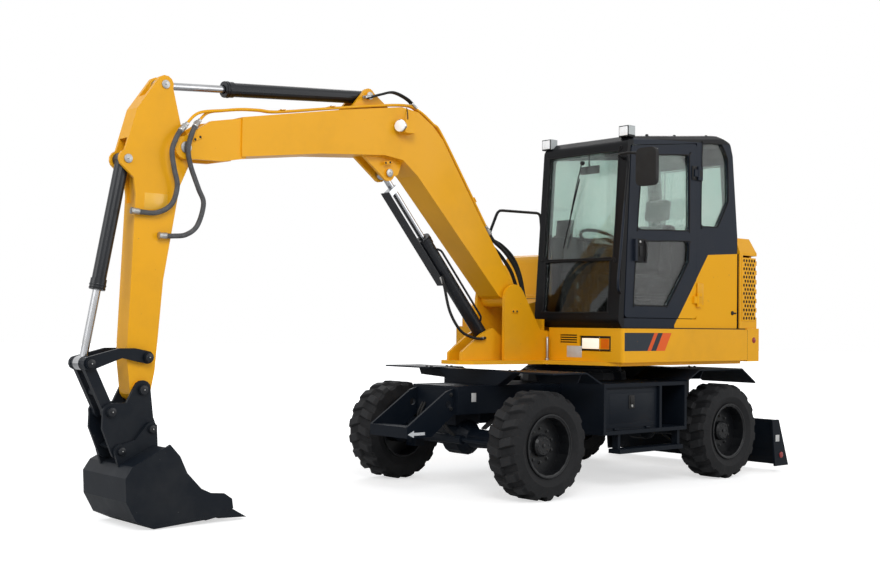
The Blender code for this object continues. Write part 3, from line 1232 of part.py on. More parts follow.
def rod_guard(foot, head):
    """A plate that the rod carries along the front of its cylinder, on a clamp near the rod's eye."""
    foot, _, way, _ = cylinder_way(foot, head)
    across = Vector((way.z, 0, -way.x))

    def slab(start, end, near, far, half):
        line = [foot + way * along + across * off for along, off in
                ((start, near), (end, near), (end, far), (start, far))]
        return prism([(point.x, point.z) for point in line], -half, half)

    clamp = slab(GUARD[1] - 0.050, GUARD[1] - 0.005, -0.034, GUARD_OFFSET + 0.001, 0.030)
    return [clamp, slab(GUARD[0], GUARD[1], GUARD_OFFSET, GUARD_OFFSET + GUARD_THICK, GUARD_HALF)]


def feed_pipe(foot, head, radius):
    """A steel pipe along a barrel, with a block at each end."""
    foot, _, way, _ = cylinder_way(foot, head)
    across = Vector((-way.z, 0, way.x))
    side = Vector((0, radius * 0.78, 0))
    lift = across * radius * 0.78
    line = [foot + way * FEED[0] + side + lift * 0.8, foot + way * (FEED[0] + 0.03) + (side + lift) * 1.28,
            foot + way * (FEED[1] - 0.03) + (side + lift) * 1.28, foot + way * FEED[1] + side + lift * 0.8]
    return pipe(bent(line, 0.02, 2), 0.009, 1)


for name, foot, head, length, radius in CYLINDERS:
    tube, shaft = barrel(foot, head, length, radius), rod(foot, head, length)
    if name == "boom":
        tube, shaft = fused(tube, feed_pipe(foot, head, radius)), fused(shaft, *rod_guard(foot, head))
    node(name + "_cylinder_barrel", name + "_barrel", tube, DARK_PAINT)
    node(name + "_cylinder_rod", name + "_rod", shaft, CHROMED)

# Hoses that hang from the boom cylinder's barrel to the house's ear
CYLINDER_HOSE = [(1.640, BOOM_BARREL_RADIUS + 0.0003, 1.700), (1.640, BOOM_BARREL_RADIUS + 0.012, 1.700),
                 (1.632, 0.086, 1.630),
                 (1.580, 0.098, 1.430), (1.470, 0.104, 1.280), (1.340, 0.110, 1.222), (1.240, 0.114, 1.212),
                 (1.190, 0.1005, 1.217), (1.190, 0.0873, 1.217)]
node("cylinder_hose", "boom_barrel", hose(CYLINDER_HOSE, 0.0115), RUBBERY)


# Arm: box girder, pivoted in the boom's fork
def arm():
    outline = arc(ARM_CYLINDER_HEAD, 0.062, 20, 200, 6)
    outline += [(4.010, 2.640)]
    outline += arc(ARM_PIVOT, 0.100, 170, 230, 3)
    outline += [(4.010, 2.230), (4.120, 1.600), (4.170, 1.000)]
    outline += arc(ARM_TIP, 0.075, 200, 360, 7)
    outline += [(4.372, 1.100), (4.330, 2.150), (4.345, 2.260)]
    outline += arc(BUCKET_CYLINDER_FOOT, 0.062, -60, 70, 5)
    outline += [(4.330, 2.720)]
    whole = prism(outline, -ARM_HALF, ARM_HALF)
    slot = EYE_HALF + SEAT_GAP
    front = BUCKET_BARREL_RADIUS + MOVE_GAP
    x, z = ARM_CYLINDER_HEAD
    top_slot = block((x - 0.20, x + 0.35), (-slot, slot), (z - 0.085, z + 0.30))
    x, z = BUCKET_CYLINDER_FOOT
    front_slot = block((x - 0.075, x + 0.20), (-front, front), (z - 0.28, z + 0.14))
    whole = cut(whole, top_slot, front_slot)
    boss = drum(at(ARM_TIP), 0.060, LAYER - SEAT_GAP, "y", 18)
    boss_high = drum(at(ARM_PIVOT), 0.075, ARM_HALF + MOVE_GAP - SEAT_GAP, "y", 20)
    rocker_boss = drum(at(ROCKER_PIVOT), 0.038, LAYER - SEAT_GAP, "y", 16)
    bore = drum(at(ROCKER_PIVOT), (ROCKER_PIN + SEAT_GAP) / cos(pi / 16), LAYER + 0.02, "y", 16)
    return cut(fused(whole, boss, boss_high, rocker_boss), bore)


node("arm", "arm", arm(), YELLOW_PAINT)

# Rocker: two curved side links, joined by their pin through the arm
ROCKER_OUTER = LAYER + 0.028


def rocker():
    crest = (4.440, 1.150)
    link = arc(ROCKER_PIVOT, 0.042, 90, 270, 6) + [(4.420, 1.088)] + arc(LINK_HEAD, 0.045, -110, 90, 6)
    link += [(4.500, 1.135), crest, (4.330, 1.150)]
    sides = [prism(link, *sorted((s * LAYER, s * ROCKER_OUTER))) for s in (1, -1)]
    caps = []
    for pin in (ROCKER_PIVOT, LINK_HEAD):
        for s in (1, -1):
            caps.append(drum((pin[0], s * (ROCKER_OUTER + 0.008), pin[1]), 0.034, 0.010, "y", 14))
    pin = drum(at(ROCKER_PIVOT), ROCKER_PIN, LAYER + 0.012, "y", 16)
    return fused(sides[0], pin, sides[1], *caps)


node("rocker", "rocker", rocker(), DARK_PAINT)

# Push link: two bars between the rocker's side links, tied across the middle
LINK_OUTER = LAYER - SEAT_GAP
LINK_INNER = EYE_HALF + SEAT_GAP


def push_link():
    head, foot = Vector(LINK_HEAD), Vector(LINK_FOOT)
    way = (foot - head).normalized()
    across = Vector((-way.y, way.x)) * 0.036
    line = [tuple(head + across), tuple(foot + across), tuple(foot - across), tuple(head - across)]
    sides = []
    for s in (1, -1):
        low, high = sorted((s * LINK_INNER, s * LINK_OUTER))
        sides.append(prism(line, low, high))
        for pin in (LINK_HEAD, LINK_FOOT):
            sides.append(drum((pin[0], (low + high) / 2, pin[1]), 0.042, (high - low) / 2, "y", 16))
    middle = head + way * 0.20
    web = drum((middle.x, 0, middle.y), 0.028, LINK_INNER + 0.01, "y", 12)
    return fused(sides[0], *sides[1:], web)


node("push_link", "push_link", push_link(), DARK_PAINT)


# Quick coupler and bucket
COUPLER_OUTER = LAYER + 0.022


def coupler():
    outline = arc(ARM_TIP, 0.062, 20, 150, 5)
    outline += [(4.190, 0.700)] + arc(BUCKET_PIN_NEAR, 0.055, 180, 280, 4)
    outline += [(4.330, 0.520)] + arc(BUCKET_PIN_FAR, 0.055, 220, 350, 4)
    outline += [(4.545, 0.640)] + arc(LINK_FOOT, 0.056, -20, 100, 4) + [(4.380, 0.800)]
    inner, outer = LAYER, COUPLER_OUTER
    plates = [prism(outline, *sorted((s * inner, s * outer))) for s in (1, -1)]
    web = prism([(4.205, 0.660), (4.235, 0.660), (4.440, 0.540), (4.475, 0.520), (4.440, 0.500),
                 (4.250, 0.600)],
                -inner - 0.01, inner + 0.01)
    caps = []
    for pin in (ARM_TIP, LINK_FOOT):
        for s in (1, -1):
            caps.append(drum((pin[0], s * (outer + 0.008), pin[1]), 0.034, 0.010, "y", 14))
    return fused(plates[0], plates[1], web, *caps)


node("quick_coupler", "bucket", coupler(), DARK_PAINT)


def bucket():
    shell_points = [(3.880, 0.030), (4.276, 0.006), (4.400, 0.062), (4.470, 0.190), (4.478, 0.340),
                    (4.430, 0.410),
                    (4.200, 0.520)]
    inner_points = [(3.890, 0.052), (4.270, 0.028), (4.385, 0.080), (4.449, 0.198), (4.456, 0.334),
                    (4.415, 0.393),
                    (4.193, 0.499)]
    shell = prism(shell_points + inner_points[::-1], -BUCKET_HALF, BUCKET_HALF)
    cheeks = []
    cheek = [(3.880, 0.035), (4.276, 0.009), (4.400, 0.065), (4.467, 0.190), (4.475, 0.338), (4.428, 0.408),
             (4.200, 0.517), (4.168, 0.535), (4.095, 0.456), (4.041, 0.344), (3.936, 0.236), (3.860, 0.200),
             (3.760, 0.190), (3.700, 0.150), (3.690, 0.085)]
    for s in (1, -1):
        cheeks.append(prism(cheek, *sorted((s * (BUCKET_HALF - 0.018), s * (BUCKET_HALF - 0.001)))))
    lip = prism([(3.720, 0.052), (3.900, 0.024), (3.960, 0.040), (3.720, 0.074)], -BUCKET_HALF + 0.002,
                BUCKET_HALF - 0.002)
    teeth = []
    for k in range(5):
        y = (k - 2) * (2 * BUCKET_HALF - 0.09) / 4
        tooth = prism([(3.580, 0.018), (3.800, 0.028), (3.800, 0.088), (3.700, 0.086)], y - 0.035,
                      y + 0.035)
        teeth.append(tooth)
    ears = []
    ear_low = COUPLER_OUTER + MOVE_GAP
    ear = [(4.168, 0.500), (4.176, 0.640)] + arc(BUCKET_PIN_NEAR, 0.045, 150, 30, 4) + [(4.330, 0.560)]
    ear += arc(BUCKET_PIN_FAR, 0.045, 110, -10, 4) + [(4.440, 0.385), (4.400, 0.412), (4.200, 0.508)]
    for s in (1, -1):
        ears.append(prism(ear, *sorted((s * ear_low, s * (ear_low + 0.022)))))
    pins = []
    for pin in (BUCKET_PIN_NEAR, BUCKET_PIN_FAR):
        for s in (1, -1):
            low, high = ear_low - MOVE_GAP + SEAT_GAP, ear_low + 0.036
            pins.append(drum((pin[0], s * (low + high) / 2, pin[1]), 0.028, (high - low) / 2, "y", 14))
    return fused(shell, *cheeks, lip, *teeth, *ears, *pins)


node("bucket", "bucket", bucket(), DARK_PAINT)

# Blade cylinder between the chassis and the blade's ears
body("blade_barrel", at(BLADE_CYLINDER_FOOT), "undercarriage")
body("blade_rod", at(BLADE_CYLINDER_FOOT), "blade_barrel")
foot, head, way, length = cylinder_way(BLADE_CYLINDER_FOOT, BLADE_CYLINDER_HEAD)
blade_barrel = fused(drum(foot, 0.034, BLADE_BARREL_RADIUS + MOVE_GAP - SEAT_GAP, "y", 14),
                     bar(foot + way * 0.02, foot + way * BLADE_BARREL_LENGTH, BLADE_BARREL_RADIUS, 16))
blade_barrel = cut(blade_barrel,
                   bar(foot + way * 0.07, foot + way * (BLADE_BARREL_LENGTH + 0.02), 0.020 + MOVE_GAP, 12))
node("blade_cylinder_barrel", "blade_barrel", blade_barrel, DARK_PAINT)
blade_rod = fused(bar(foot + way * (BLADE_BARREL_LENGTH - 0.06), head - way * 0.01, 0.020, 12),
                  drum(head, 0.034, BLADE_EYE_HALF, "y", 14))
node("blade_cylinder_rod", "blade_rod", blade_rod, CHROMED)

# Move the origin to the ground in the middle of the whole footprint
bpy.context.view_layer.update()
low = Vector((1e9, 1e9, 1e9))
high = -low
for piece in bpy.data.objects:
    if piece.type != "MESH":
        continue
    for corner in piece.data.vertices:
        place = piece.matrix_world @ corner.co
        for k in range(3):
            low[k] = min(low[k], place[k])
            high[k] = max(high[k], place[k])
machine.location = (-(low.x + high.x) / 2, -(low.y + high.y) / 2, -low.z)
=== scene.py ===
import bmesh
import bpy
from math import atan2, cos, pi, radians, sin
from mathutils import Matrix, Vector


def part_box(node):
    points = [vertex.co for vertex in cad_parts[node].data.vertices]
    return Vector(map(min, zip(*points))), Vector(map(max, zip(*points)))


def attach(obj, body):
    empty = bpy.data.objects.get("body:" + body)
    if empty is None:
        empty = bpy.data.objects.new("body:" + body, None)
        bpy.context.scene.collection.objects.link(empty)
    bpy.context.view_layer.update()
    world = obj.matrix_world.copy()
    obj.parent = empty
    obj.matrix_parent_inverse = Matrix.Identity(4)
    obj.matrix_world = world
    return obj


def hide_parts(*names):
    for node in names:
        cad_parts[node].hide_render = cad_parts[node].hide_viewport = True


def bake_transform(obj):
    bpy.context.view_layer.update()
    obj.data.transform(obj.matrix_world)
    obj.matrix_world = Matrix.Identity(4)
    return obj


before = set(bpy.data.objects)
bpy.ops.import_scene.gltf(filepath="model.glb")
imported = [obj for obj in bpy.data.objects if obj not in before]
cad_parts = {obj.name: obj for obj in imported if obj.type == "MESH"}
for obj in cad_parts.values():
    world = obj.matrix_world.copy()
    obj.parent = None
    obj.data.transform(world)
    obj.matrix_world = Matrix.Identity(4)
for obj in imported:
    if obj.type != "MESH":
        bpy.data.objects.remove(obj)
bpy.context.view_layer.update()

# Camera: it stands ahead of the machine on its left, at the height of a person's chest, and looks
# back at the cab. Places are counted from the ground under the slew ring, found from the wheels.
FRONT_AXLE_X = 1.350
near_rim, far_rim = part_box("rim_front_left"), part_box("rim_front_right")
SLEW = Vector(((near_rim[0].x + near_rim[1].x) / 2 - FRONT_AXLE_X, (near_rim[0].y + far_rim[1].y) / 2, 0))
IMAGE_WIDTH = 880          # pixels
FOCAL = 1210               # in pixels of that width
YAW, PITCH, ROLL = radians(41.68), radians(1.85), radians(0.68)


def place(x, y, z):
    """A point counted from the ground under the slew ring, in the frame."""
    return SLEW + Vector((x, y, z))


forward = Vector((-sin(YAW) * cos(PITCH), -cos(YAW) * cos(PITCH), sin(PITCH)))
level = forward.cross(Vector((0, 0, 1))).normalized()
upward = level.cross(forward)
right = cos(ROLL) * level + sin(ROLL) * upward
up = -sin(ROLL) * level + cos(ROLL) * upward
view = bpy.data.cameras.new("view")
view.sensor_width = 36.0
view.lens = FOCAL * view.sensor_width / IMAGE_WIDTH
view.clip_end = 200
camera = bpy.data.objects.new("camera", view)
camera.matrix_world = Matrix(((right.x, up.x, -forward.x, 0), (right.y, up.y, -forward.y, 0),
                              (right.z, up.z, -forward.z, 0), (0, 0, 0, 1)))
camera.location = place(8.071, 7.266, 1.336)
bpy.context.scene.collection.objects.link(camera)
bpy.context.scene.camera = camera
bpy.context.scene.view_settings.view_transform = "Standard"


# Studio: a pale floor that reads as the white backdrop where nothing shades it, three large soft
# lamps, and a white surround that only the camera, the glass and the chrome see.
def clear():
    """Nothing stays selected."""
    if bpy.context.mode != "OBJECT":
        bpy.ops.object.mode_set(mode="OBJECT")
    bpy.ops.object.select_all(action="DESELECT")


def pick(piece):
    """Selects one piece alone."""
    clear()
    piece.select_set(True)
    bpy.context.view_layer.objects.active = piece


def named(name):
    """The piece that an operator has just added, with its own name."""
    piece = bpy.context.object
    piece.name = name
    piece.data.name = name
    return piece


def material(name):
    """A new material, with its nodes, its links and its shader."""
    made = bpy.data.materials.new(name)
    made.use_nodes = True
    nodes = made.node_tree.nodes
    return made, nodes, made.node_tree.links, nodes["Principled BSDF"]


def node(nodes, kind, inputs=None, operation=None, data_type=None):
    """A new node. Each of its inputs gets a value, or a link if what it is given is another node's output."""
    made = nodes.new("ShaderNode" + kind)
    if operation:
        made.operation = operation
    if data_type:
        made.data_type = data_type
    for key, value in (inputs or {}).items():
        if isinstance(value, bpy.types.NodeSocket):
            made.id_data.links.new(value, made.inputs[key])
        else:
            made.inputs[key].default_value = value
    return made


def ramp(nodes, value, *stops):
    """A colour that runs from the first stop to the second with a value."""
    made = node(nodes, "ValToRGB", {"Fac": value})
    for element, (position, colour) in zip(made.color_ramp.elements, stops):
        element.position = position
        element.color = (*colour, 1)
    return made.outputs["Color"]


clear()
bpy.ops.mesh.primitive_circle_add(vertices=64, radius=60, fill_type="NGON", location=(0, 0, 0))
floor = named("floor")
floor_paint, nodes, links, shader = material("floor_paint")
shader.inputs["Base Color"].default_value = (0.72, 0.72, 0.72, 1)
shader.inputs["Roughness"].default_value = 0.95
shader.inputs["Emission Color"].default_value = (1, 1, 1, 1)
rays = node(nodes, "LightPath")
reach = node(nodes, "VectorMath", {0: nodes.new("ShaderNodeTexCoord").outputs["Object"]}, operation="LENGTH")
fade = node(nodes, "MapRange", {"From Min": 2.5, "From Max": 9.0, "To Min": 0.60, "To Max": 1.05,
                                "Value": reach.outputs["Value"]})
lift = node(nodes, "Math", {0: rays.outputs["Is Camera Ray"], 1: fade.outputs["Result"]},
            operation="MULTIPLY")
links.new(lift.outputs[0], shader.inputs["Emission Strength"])
floor.data.materials.append(floor_paint)

# Name, place, size in metres, power in watts
for name, spot, size, power in (
        ("key_lamp", (7.0, 9.0, 8.5), 6.5, 800), ("front_lamp", (10.0, -1.0, 5.0), 6.0, 220),
        ("fill_lamp", (-5.0, 9.0, 4.5), 7.0, 210), ("back_lamp", (-8.0, -8.0, 8.0), 8.0, 330)):
    light = bpy.data.lights.new(name, "AREA")
    light.shape = "DISK"
    light.size = size
    light.energy = power
    lamp = bpy.data.objects.new(name, light)
    lamp.location = spot
    lamp.rotation_euler = (Vector((0.5, 0, 1.2)) - Vector(spot)).to_track_quat("-Z", "Y").to_euler()
    bpy.context.scene.collection.objects.link(lamp)

world = bpy.data.worlds.new("surround")
bpy.context.scene.world = world
world.use_nodes = True
tree = world.node_tree
tree.nodes.clear()
rays = node(tree.nodes, "LightPath")
plain = node(tree.nodes, "Background", {"Color": (0.93, 0.96, 1.0, 1), "Strength": 0.36})
white = node(tree.nodes, "Background", {"Color": (1, 1, 1, 1)})
seen = node(tree.nodes, "Math", {0: rays.outputs["Is Camera Ray"], 1: rays.outputs["Is Glossy Ray"]},
            operation="MAXIMUM")
through = node(tree.nodes, "Math", {0: seen.outputs[0], 1: rays.outputs["Is Transmission Ray"]},
               operation="MAXIMUM")
mix = node(tree.nodes, "MixShader", {0: through.outputs[0], 1: plain.outputs[0], 2: white.outputs[0]})
node(tree.nodes, "OutputWorld", {0: mix.outputs[0]})


# Frame, axles, boxes and blade of the undercarriage: welded plate in charcoal machine enamel, sprayed
# after welding, with faint orange peel, road dust that settles in broad patches and stone chips.
def zone(colour, points, side=True):
    """A painted patch with straight edges, given by its corners in the side view or the front view.

    The corners go round so that the patch lies on the left of each edge, or all on the right.
    """
    area = sum(a[0] * b[1] - b[0] * a[1] for a, b in zip(points, points[1:] + points[:1]))
    turn = 1 if area > 0 else -1
    edges = []
    for a, b in zip(points, points[1:] + points[:1]):
        inward = Vector((-(b[1] - a[1]), b[0] - a[0])).normalized() * turn
        if side:
            normal, foot = Vector((inward.x, 0, inward.y)), place(a[0], 0, a[1])
        else:
            normal, foot = Vector((0, inward.x, inward.y)), place(0, a[0], a[1])
        edges.append((normal, normal.dot(foot)))
    return colour, edges


def enamel(name, colour, dust, chip, roughness=0.34, coat=0.12, peel=0.10, chips=0.735, cloud=1.6, zones=(),
           gloss=0.32):
    """A sprayed finish: painted patches, broad dust, small chips, and a roughness and relief of its own."""
    finish, nodes, links, shader = material(name)
    shader.inputs["Coat Weight"].default_value = coat
    shader.inputs["Coat Roughness"].default_value = 0.16
    shader.inputs["Specular IOR Level"].default_value = gloss
    where = nodes.new("ShaderNodeTexCoord").outputs["Object"]
    broad = node(nodes, "TexNoise", {"Scale": cloud, "Detail": 6.0, "Roughness": 0.62})
    fine = node(nodes, "TexNoise", {"Scale": 46.0, "Detail": 4.0})
    grain = node(nodes, "TexNoise", {"Scale": 420.0})
    for texture in (broad, fine, grain):
        links.new(where, texture.inputs["Vector"])
    coloured = node(nodes, "Mix", {"A": (*colour, 1), "B": (*dust, 1)}, data_type="RGBA")
    dusty = node(nodes, "MapRange", {"From Min": 0.46, "From Max": 0.80, "Value": broad.outputs["Fac"]})
    links.new(dusty.outputs["Result"], coloured.inputs["Factor"])
    paint = coloured.outputs["Result"]
    for patch, edges in zones:
        inside = None
        for normal, limit in edges:
            along = node(nodes, "VectorMath", {0: where, 1: normal}, operation="DOT_PRODUCT")
            test = node(nodes, "Math", {0: along.outputs["Value"], 1: limit}, operation="GREATER_THAN")
            if inside is None:
                inside = test.outputs[0]
                continue
            both = node(nodes, "Math", {0: inside, 1: test.outputs[0]}, operation="MULTIPLY")
            inside = both.outputs[0]
        layer = node(nodes, "Mix", {"B": (*patch, 1), "Factor": inside, "A": paint}, data_type="RGBA")
        paint = layer.outputs["Result"]
    chipped = node(nodes, "MapRange", {"From Min": chips, "From Max": chips + 0.03,
                                       "Value": fine.outputs["Fac"]})
    bare = node(nodes, "Mix", {"B": (*chip, 1), "Factor": chipped.outputs["Result"], "A": paint},
                data_type="RGBA")
    links.new(bare.outputs["Result"], shader.inputs["Base Color"])
    rough = node(nodes, "MapRange", {"From Min": 0.30, "From Max": 0.75, "To Min": roughness - 0.06,
                                     "To Max": roughness + 0.16, "Value": broad.outputs["Fac"]})
    links.new(rough.outputs["Result"], shader.inputs["Roughness"])
    relief = node(nodes, "Bump", {"Strength": peel, "Distance": 0.0008, "Height": grain.outputs["Fac"]})
    links.new(relief.outputs["Normal"], shader.inputs["Normal"])
    return finish


CHARCOAL = enamel("charcoal_enamel", (0.0036, 0.0062, 0.0108), (0.0085, 0.0112, 0.0160),
                  (0.032, 0.035, 0.040), roughness=0.44, coat=0.02, gloss=0.11)


def dress(finish, *names):
    """Gives CAD nodes their finish."""
    for name in names:
        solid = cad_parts[name]
        solid.data.materials.clear()
        solid.data.materials.append(finish)


dress(CHARCOAL, "chassis_frame", "side_box_left", "side_box_right", "fenders_front", "fenders_rear",
      "front_step", "dozer_blade", "front_axle", "rear_axle", "knuckle_left", "knuckle_right",
      "steering_cylinder", "drive_line", "engine_block", "blade_cylinder_barrel")


# Bolts of the slew ring, the fenders and the step: hexagon heads on washers, plated black, each set in
# one row or ring and torqued down on its plate.
def soften(piece, width, segments=2):
    """Rounds a piece's sharp edges."""
    pick(piece)
    bevel = piece.modifiers.new("edges", "BEVEL")
    bevel.width = width
    bevel.segments = segments
    bevel.limit_method = "ANGLE"
    bpy.ops.object.modifier_apply(modifier=bevel.name)


def settle(piece, finish, body=None):
    """Applies the piece's place, smooths it, gives it its finish and hangs it on its body."""
    pick(piece)
    bpy.ops.object.transform_apply(location=True, rotation=True, scale=True)
    bpy.ops.object.shade_smooth_by_angle(angle=radians(32))
    piece.data.materials.clear()
    piece.data.materials.append(finish)
    if body:
        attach(piece, body)
    return piece


def plate(name, low, high, finish, body=None, edge=0.003, turn=(0, 0, 0), segments=2):
    """A flat plate or bar between two corners, with its edges rounded, turned about its middle."""
    low, high = Vector(low), Vector(high)
    clear()
    bpy.ops.mesh.primitive_cube_add(size=1, location=place(*((low + high) / 2)))
    piece = named(name)
    piece.scale = high - low
    bpy.ops.object.transform_apply(location=False, rotation=False, scale=True)
    soften(piece, edge, segments)
    piece.rotation_euler = turn
    return settle(piece, finish, body)


def drum(name, centre, radius, length, way, finish, body=None, sides=24, edge=0.002, end=None):
    """A round or many-sided piece with its middle at a place and its length along a way."""
    clear()
    bpy.ops.mesh.primitive_cone_add(vertices=sides, radius1=radius, radius2=radius if end is None else end,
                                    depth=length, location=place(*centre),
                                    rotation=Vector(way).to_track_quat("Z", "Y").to_euler())
    piece = named(name)
    if edge:
        soften(piece, edge)
    return settle(piece, finish, body)


def together(name, pieces, body=None):
    """Several like pieces made one."""
    clear()
    for piece in pieces:
        piece.select_set(True)
    bpy.context.view_layer.objects.active = pieces[0]
    if len(pieces) > 1:
        bpy.ops.object.join()
    pieces[0].name = name
    pieces[0].data.name = name
    if body:
        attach(pieces[0], body)
    return pieces[0]


def bolts(name, centres, way, radius, finish, body=None, head=0.6):
    """Hexagon heads on washers at a list of places, standing on the plate that the way points out of."""
    way = Vector(way).normalized()
    made = []
    for centre in centres:
        foot = Vector(centre)
        made.append(drum(name, foot + way * radius * 0.10, radius * 1.35, radius * 0.20, way, finish,
                         sides=20, edge=0.0006))
        made.append(drum(name, foot + way * radius * (0.20 + head / 2), radius, radius * head, way, finish,
                         sides=6, edge=radius * 0.10))
    return together(name, made, body)


BOLT_BLACK = enamel("bolt_black", (0.012, 0.013, 0.014), (0.030, 0.029, 0.028), (0.12, 0.12, 0.12),
                    roughness=0.36, coat=0.0, cloud=9.0, chips=0.70)
FENDER_TOP = 0.965
STEP_SIDE_Y = 0.225
BOX_DOOR_Y = 0.925
for name, places in (("fender_bolts", (1.04, 1.27)), ("rear_fender_bolts", (-0.58, -1.06))):
    spots = [(x, s * y, FENDER_TOP) for s in (1, -1) for x in places for y in (0.47, 0.53)]
    bolts(name, spots, (0, 0, 1), 0.011, BOLT_BLACK, "undercarriage")
for s, side in ((1, "left"), (-1, "right")):
    spots = [(x, s * STEP_SIDE_Y, z) for x, z in ((1.672, 0.775), (1.672, 0.665))]
    bolts("step_bolts_" + side, spots, (0, s, 0), 0.013, BOLT_BLACK, "undercarriage")
ring_bolts = [(0.445 * cos(k * pi / 12), 0.445 * sin(k * pi / 12), 0.930) for k in range(24)]
bolts("ring_bolts", ring_bolts, (0, 0, 1), 0.010, BOLT_BLACK, "undercarriage")


# Side box doors: a pressed sheet with a raised border, two hinges below and a paddle latch in a
# recessed cup at its middle, which a key locks.
LATCH_BLACK = enamel("latch_black", (0.0065, 0.0065, 0.0070), (0.0160, 0.0160, 0.0155), (0.06, 0.06, 0.06),
                     roughness=0.50, coat=0.0, cloud=12.0, gloss=0.25)
ZINC = enamel("zinc_plate", (0.42, 0.42, 0.41), (0.30, 0.29, 0.27), (0.55, 0.55, 0.55), roughness=0.34,
              coat=0.0, cloud=18.0, chips=0.62)
ZINC.node_tree.nodes["Principled BSDF"].inputs["Metallic"].default_value = 0.9


def recess(piece, way, least, *steps):
    """Insets the faces that look along a way and are larger than a size; a step is a width and a depth."""
    pick(piece)
    bpy.ops.object.mode_set(mode="EDIT")
    bpy.ops.mesh.select_mode(type="FACE")
    bpy.ops.mesh.select_all(action="DESELECT")
    bpy.ops.object.mode_set(mode="OBJECT")
    for face in piece.data.polygons:
        face.select = face.normal.dot(Vector(way)) > 0.99 and face.area > least
    bpy.ops.object.mode_set(mode="EDIT")
    for width, depth in steps:
        bpy.ops.mesh.inset(thickness=width, depth=depth)
    bpy.ops.object.mode_set(mode="OBJECT")


for s, side in ((1, "left"), (-1, "right")):
    near, far = sorted((s * BOX_DOOR_Y, s * (BOX_DOOR_Y + 0.006)))
    panel = plate("box_door_" + side, (0.004, near, 0.505), (0.643, far, 0.819), CHARCOAL, edge=0.004)
    recess(panel, (0, s, 0), 0.05, (0.030, 0), (0.008, 0.006))
    hinges = [drum("hinge", (x, s * (BOX_DOOR_Y + 0.007), 0.500), 0.008, 0.050, (1, 0, 0), CHARCOAL,
                   sides=14, edge=0.001) for x in (0.120, 0.520)]
    together("box_door_" + side, [panel] + hinges, "undercarriage")
    near, far = sorted((s * 0.936, s * 0.944))
    cup = plate("latch_cup", (0.300, near, 0.660), (0.372, far, 0.770), LATCH_BLACK, edge=0.006, segments=3)
    near, far = sorted((s * 0.943, s * 0.950))
    paddle = plate("paddle", (0.312, near, 0.700), (0.360, far, 0.758), LATCH_BLACK, edge=0.003,
                   turn=(s * 0.06, 0, 0))
    together("box_latch_" + side, [cup, paddle], "undercarriage")
    drum("latch_key_" + side, (0.336, s * 0.945, 0.682), 0.011, 0.006, (0, s, 0), ZINC, "undercarriage",
         sides=20, edge=0.001)


# Lines at the front axle: black rubber hoses that run from the gearbox along the girder to the axle, and
# two more at each end of the steering cylinder.
HOSE_BLACK = enamel("hose_black", (0.0065, 0.0065, 0.0070), (0.0160, 0.0155, 0.0145), (0.03, 0.03, 0.03),
                    roughness=0.55, coat=0.0, cloud=20.0, peel=0.5, gloss=0.30)


def along(route, spacing):
    """Points at an even spacing on a smooth curve through a route's own points."""
    points = [Vector(point) for point in route]
    points = [2 * points[0] - points[1]] + points + [2 * points[-1] - points[-2]]
    fine = []
    for i in range(1, len(points) - 2):
        a, b, c, d = points[i - 1:i + 3]
        for k in range(16):
            t = k / 16
            fine.append(0.5 * (2 * b + (c - a) * t + (2 * a - 5 * b + 4 * c - d) * t ** 2
                               + (3 * b - a - 3 * c + d) * t ** 3))
    fine.append(points[-2])
    kept, walked = [fine[0]], 0.0
    for here, after in zip(fine, fine[1:]):
        walked += (after - here).length
        if walked >= spacing:
            kept.append(after)
            walked = 0.0
    if (kept[-1] - fine[-1]).length < spacing / 2 and len(kept) > 1:
        kept.pop()
    return kept + [fine[-1]]


def hose(name, route, radius, finish, body=None, sides=14, spacing=None):
    """A round tube with closed ends along a route, with its own map: round it, and along it in turns."""
    points = [place(*point) for point in along(route, spacing or 1.6 * radius)]
    shape = bmesh.new()
    layer = shape.loops.layers.uv.new("UVMap")
    turn = Vector((0, 0, 1))
    rings, walked = [], [0.0]
    for i, point in enumerate(points):
        way = (points[min(i + 1, len(points) - 1)] - points[max(i - 1, 0)]).normalized()
        turn = (turn - way * turn.dot(way))
        if turn.length < 0.1:
            turn = way.orthogonal()
        turn.normalize()
        over = way.cross(turn)
        rings.append([shape.verts.new(point + radius * (cos(2 * pi * k / sides) * turn
                                                        + sin(2 * pi * k / sides) * over))
                      for k in range(sides)])
        if i:
            walked.append(walked[-1] + (point - points[i - 1]).length / (2 * pi * radius))
    for i in range(len(rings) - 1):
        for k in range(sides):
            n = (k + 1) % sides
            face = shape.faces.new((rings[i][k], rings[i][n], rings[i + 1][n], rings[i + 1][k]))
            for loop, (u, v) in zip(face.loops, ((k, i), (k + 1, i), (k + 1, i + 1), (k, i + 1))):
                loop[layer].uv = (u / sides, walked[v])
    shape.faces.new(list(reversed(rings[0])))
    shape.faces.new(rings[-1])
    bmesh.ops.recalc_face_normals(shape, faces=shape.faces)
    mesh = bpy.data.meshes.new(name)
    shape.to_mesh(mesh)
    shape.free()
    mesh.shade_smooth()
    piece = bpy.data.objects.new(name, mesh)
    bpy.context.scene.collection.objects.link(piece)
    mesh.materials.append(finish)
    if body:
        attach(piece, body)
    return piece


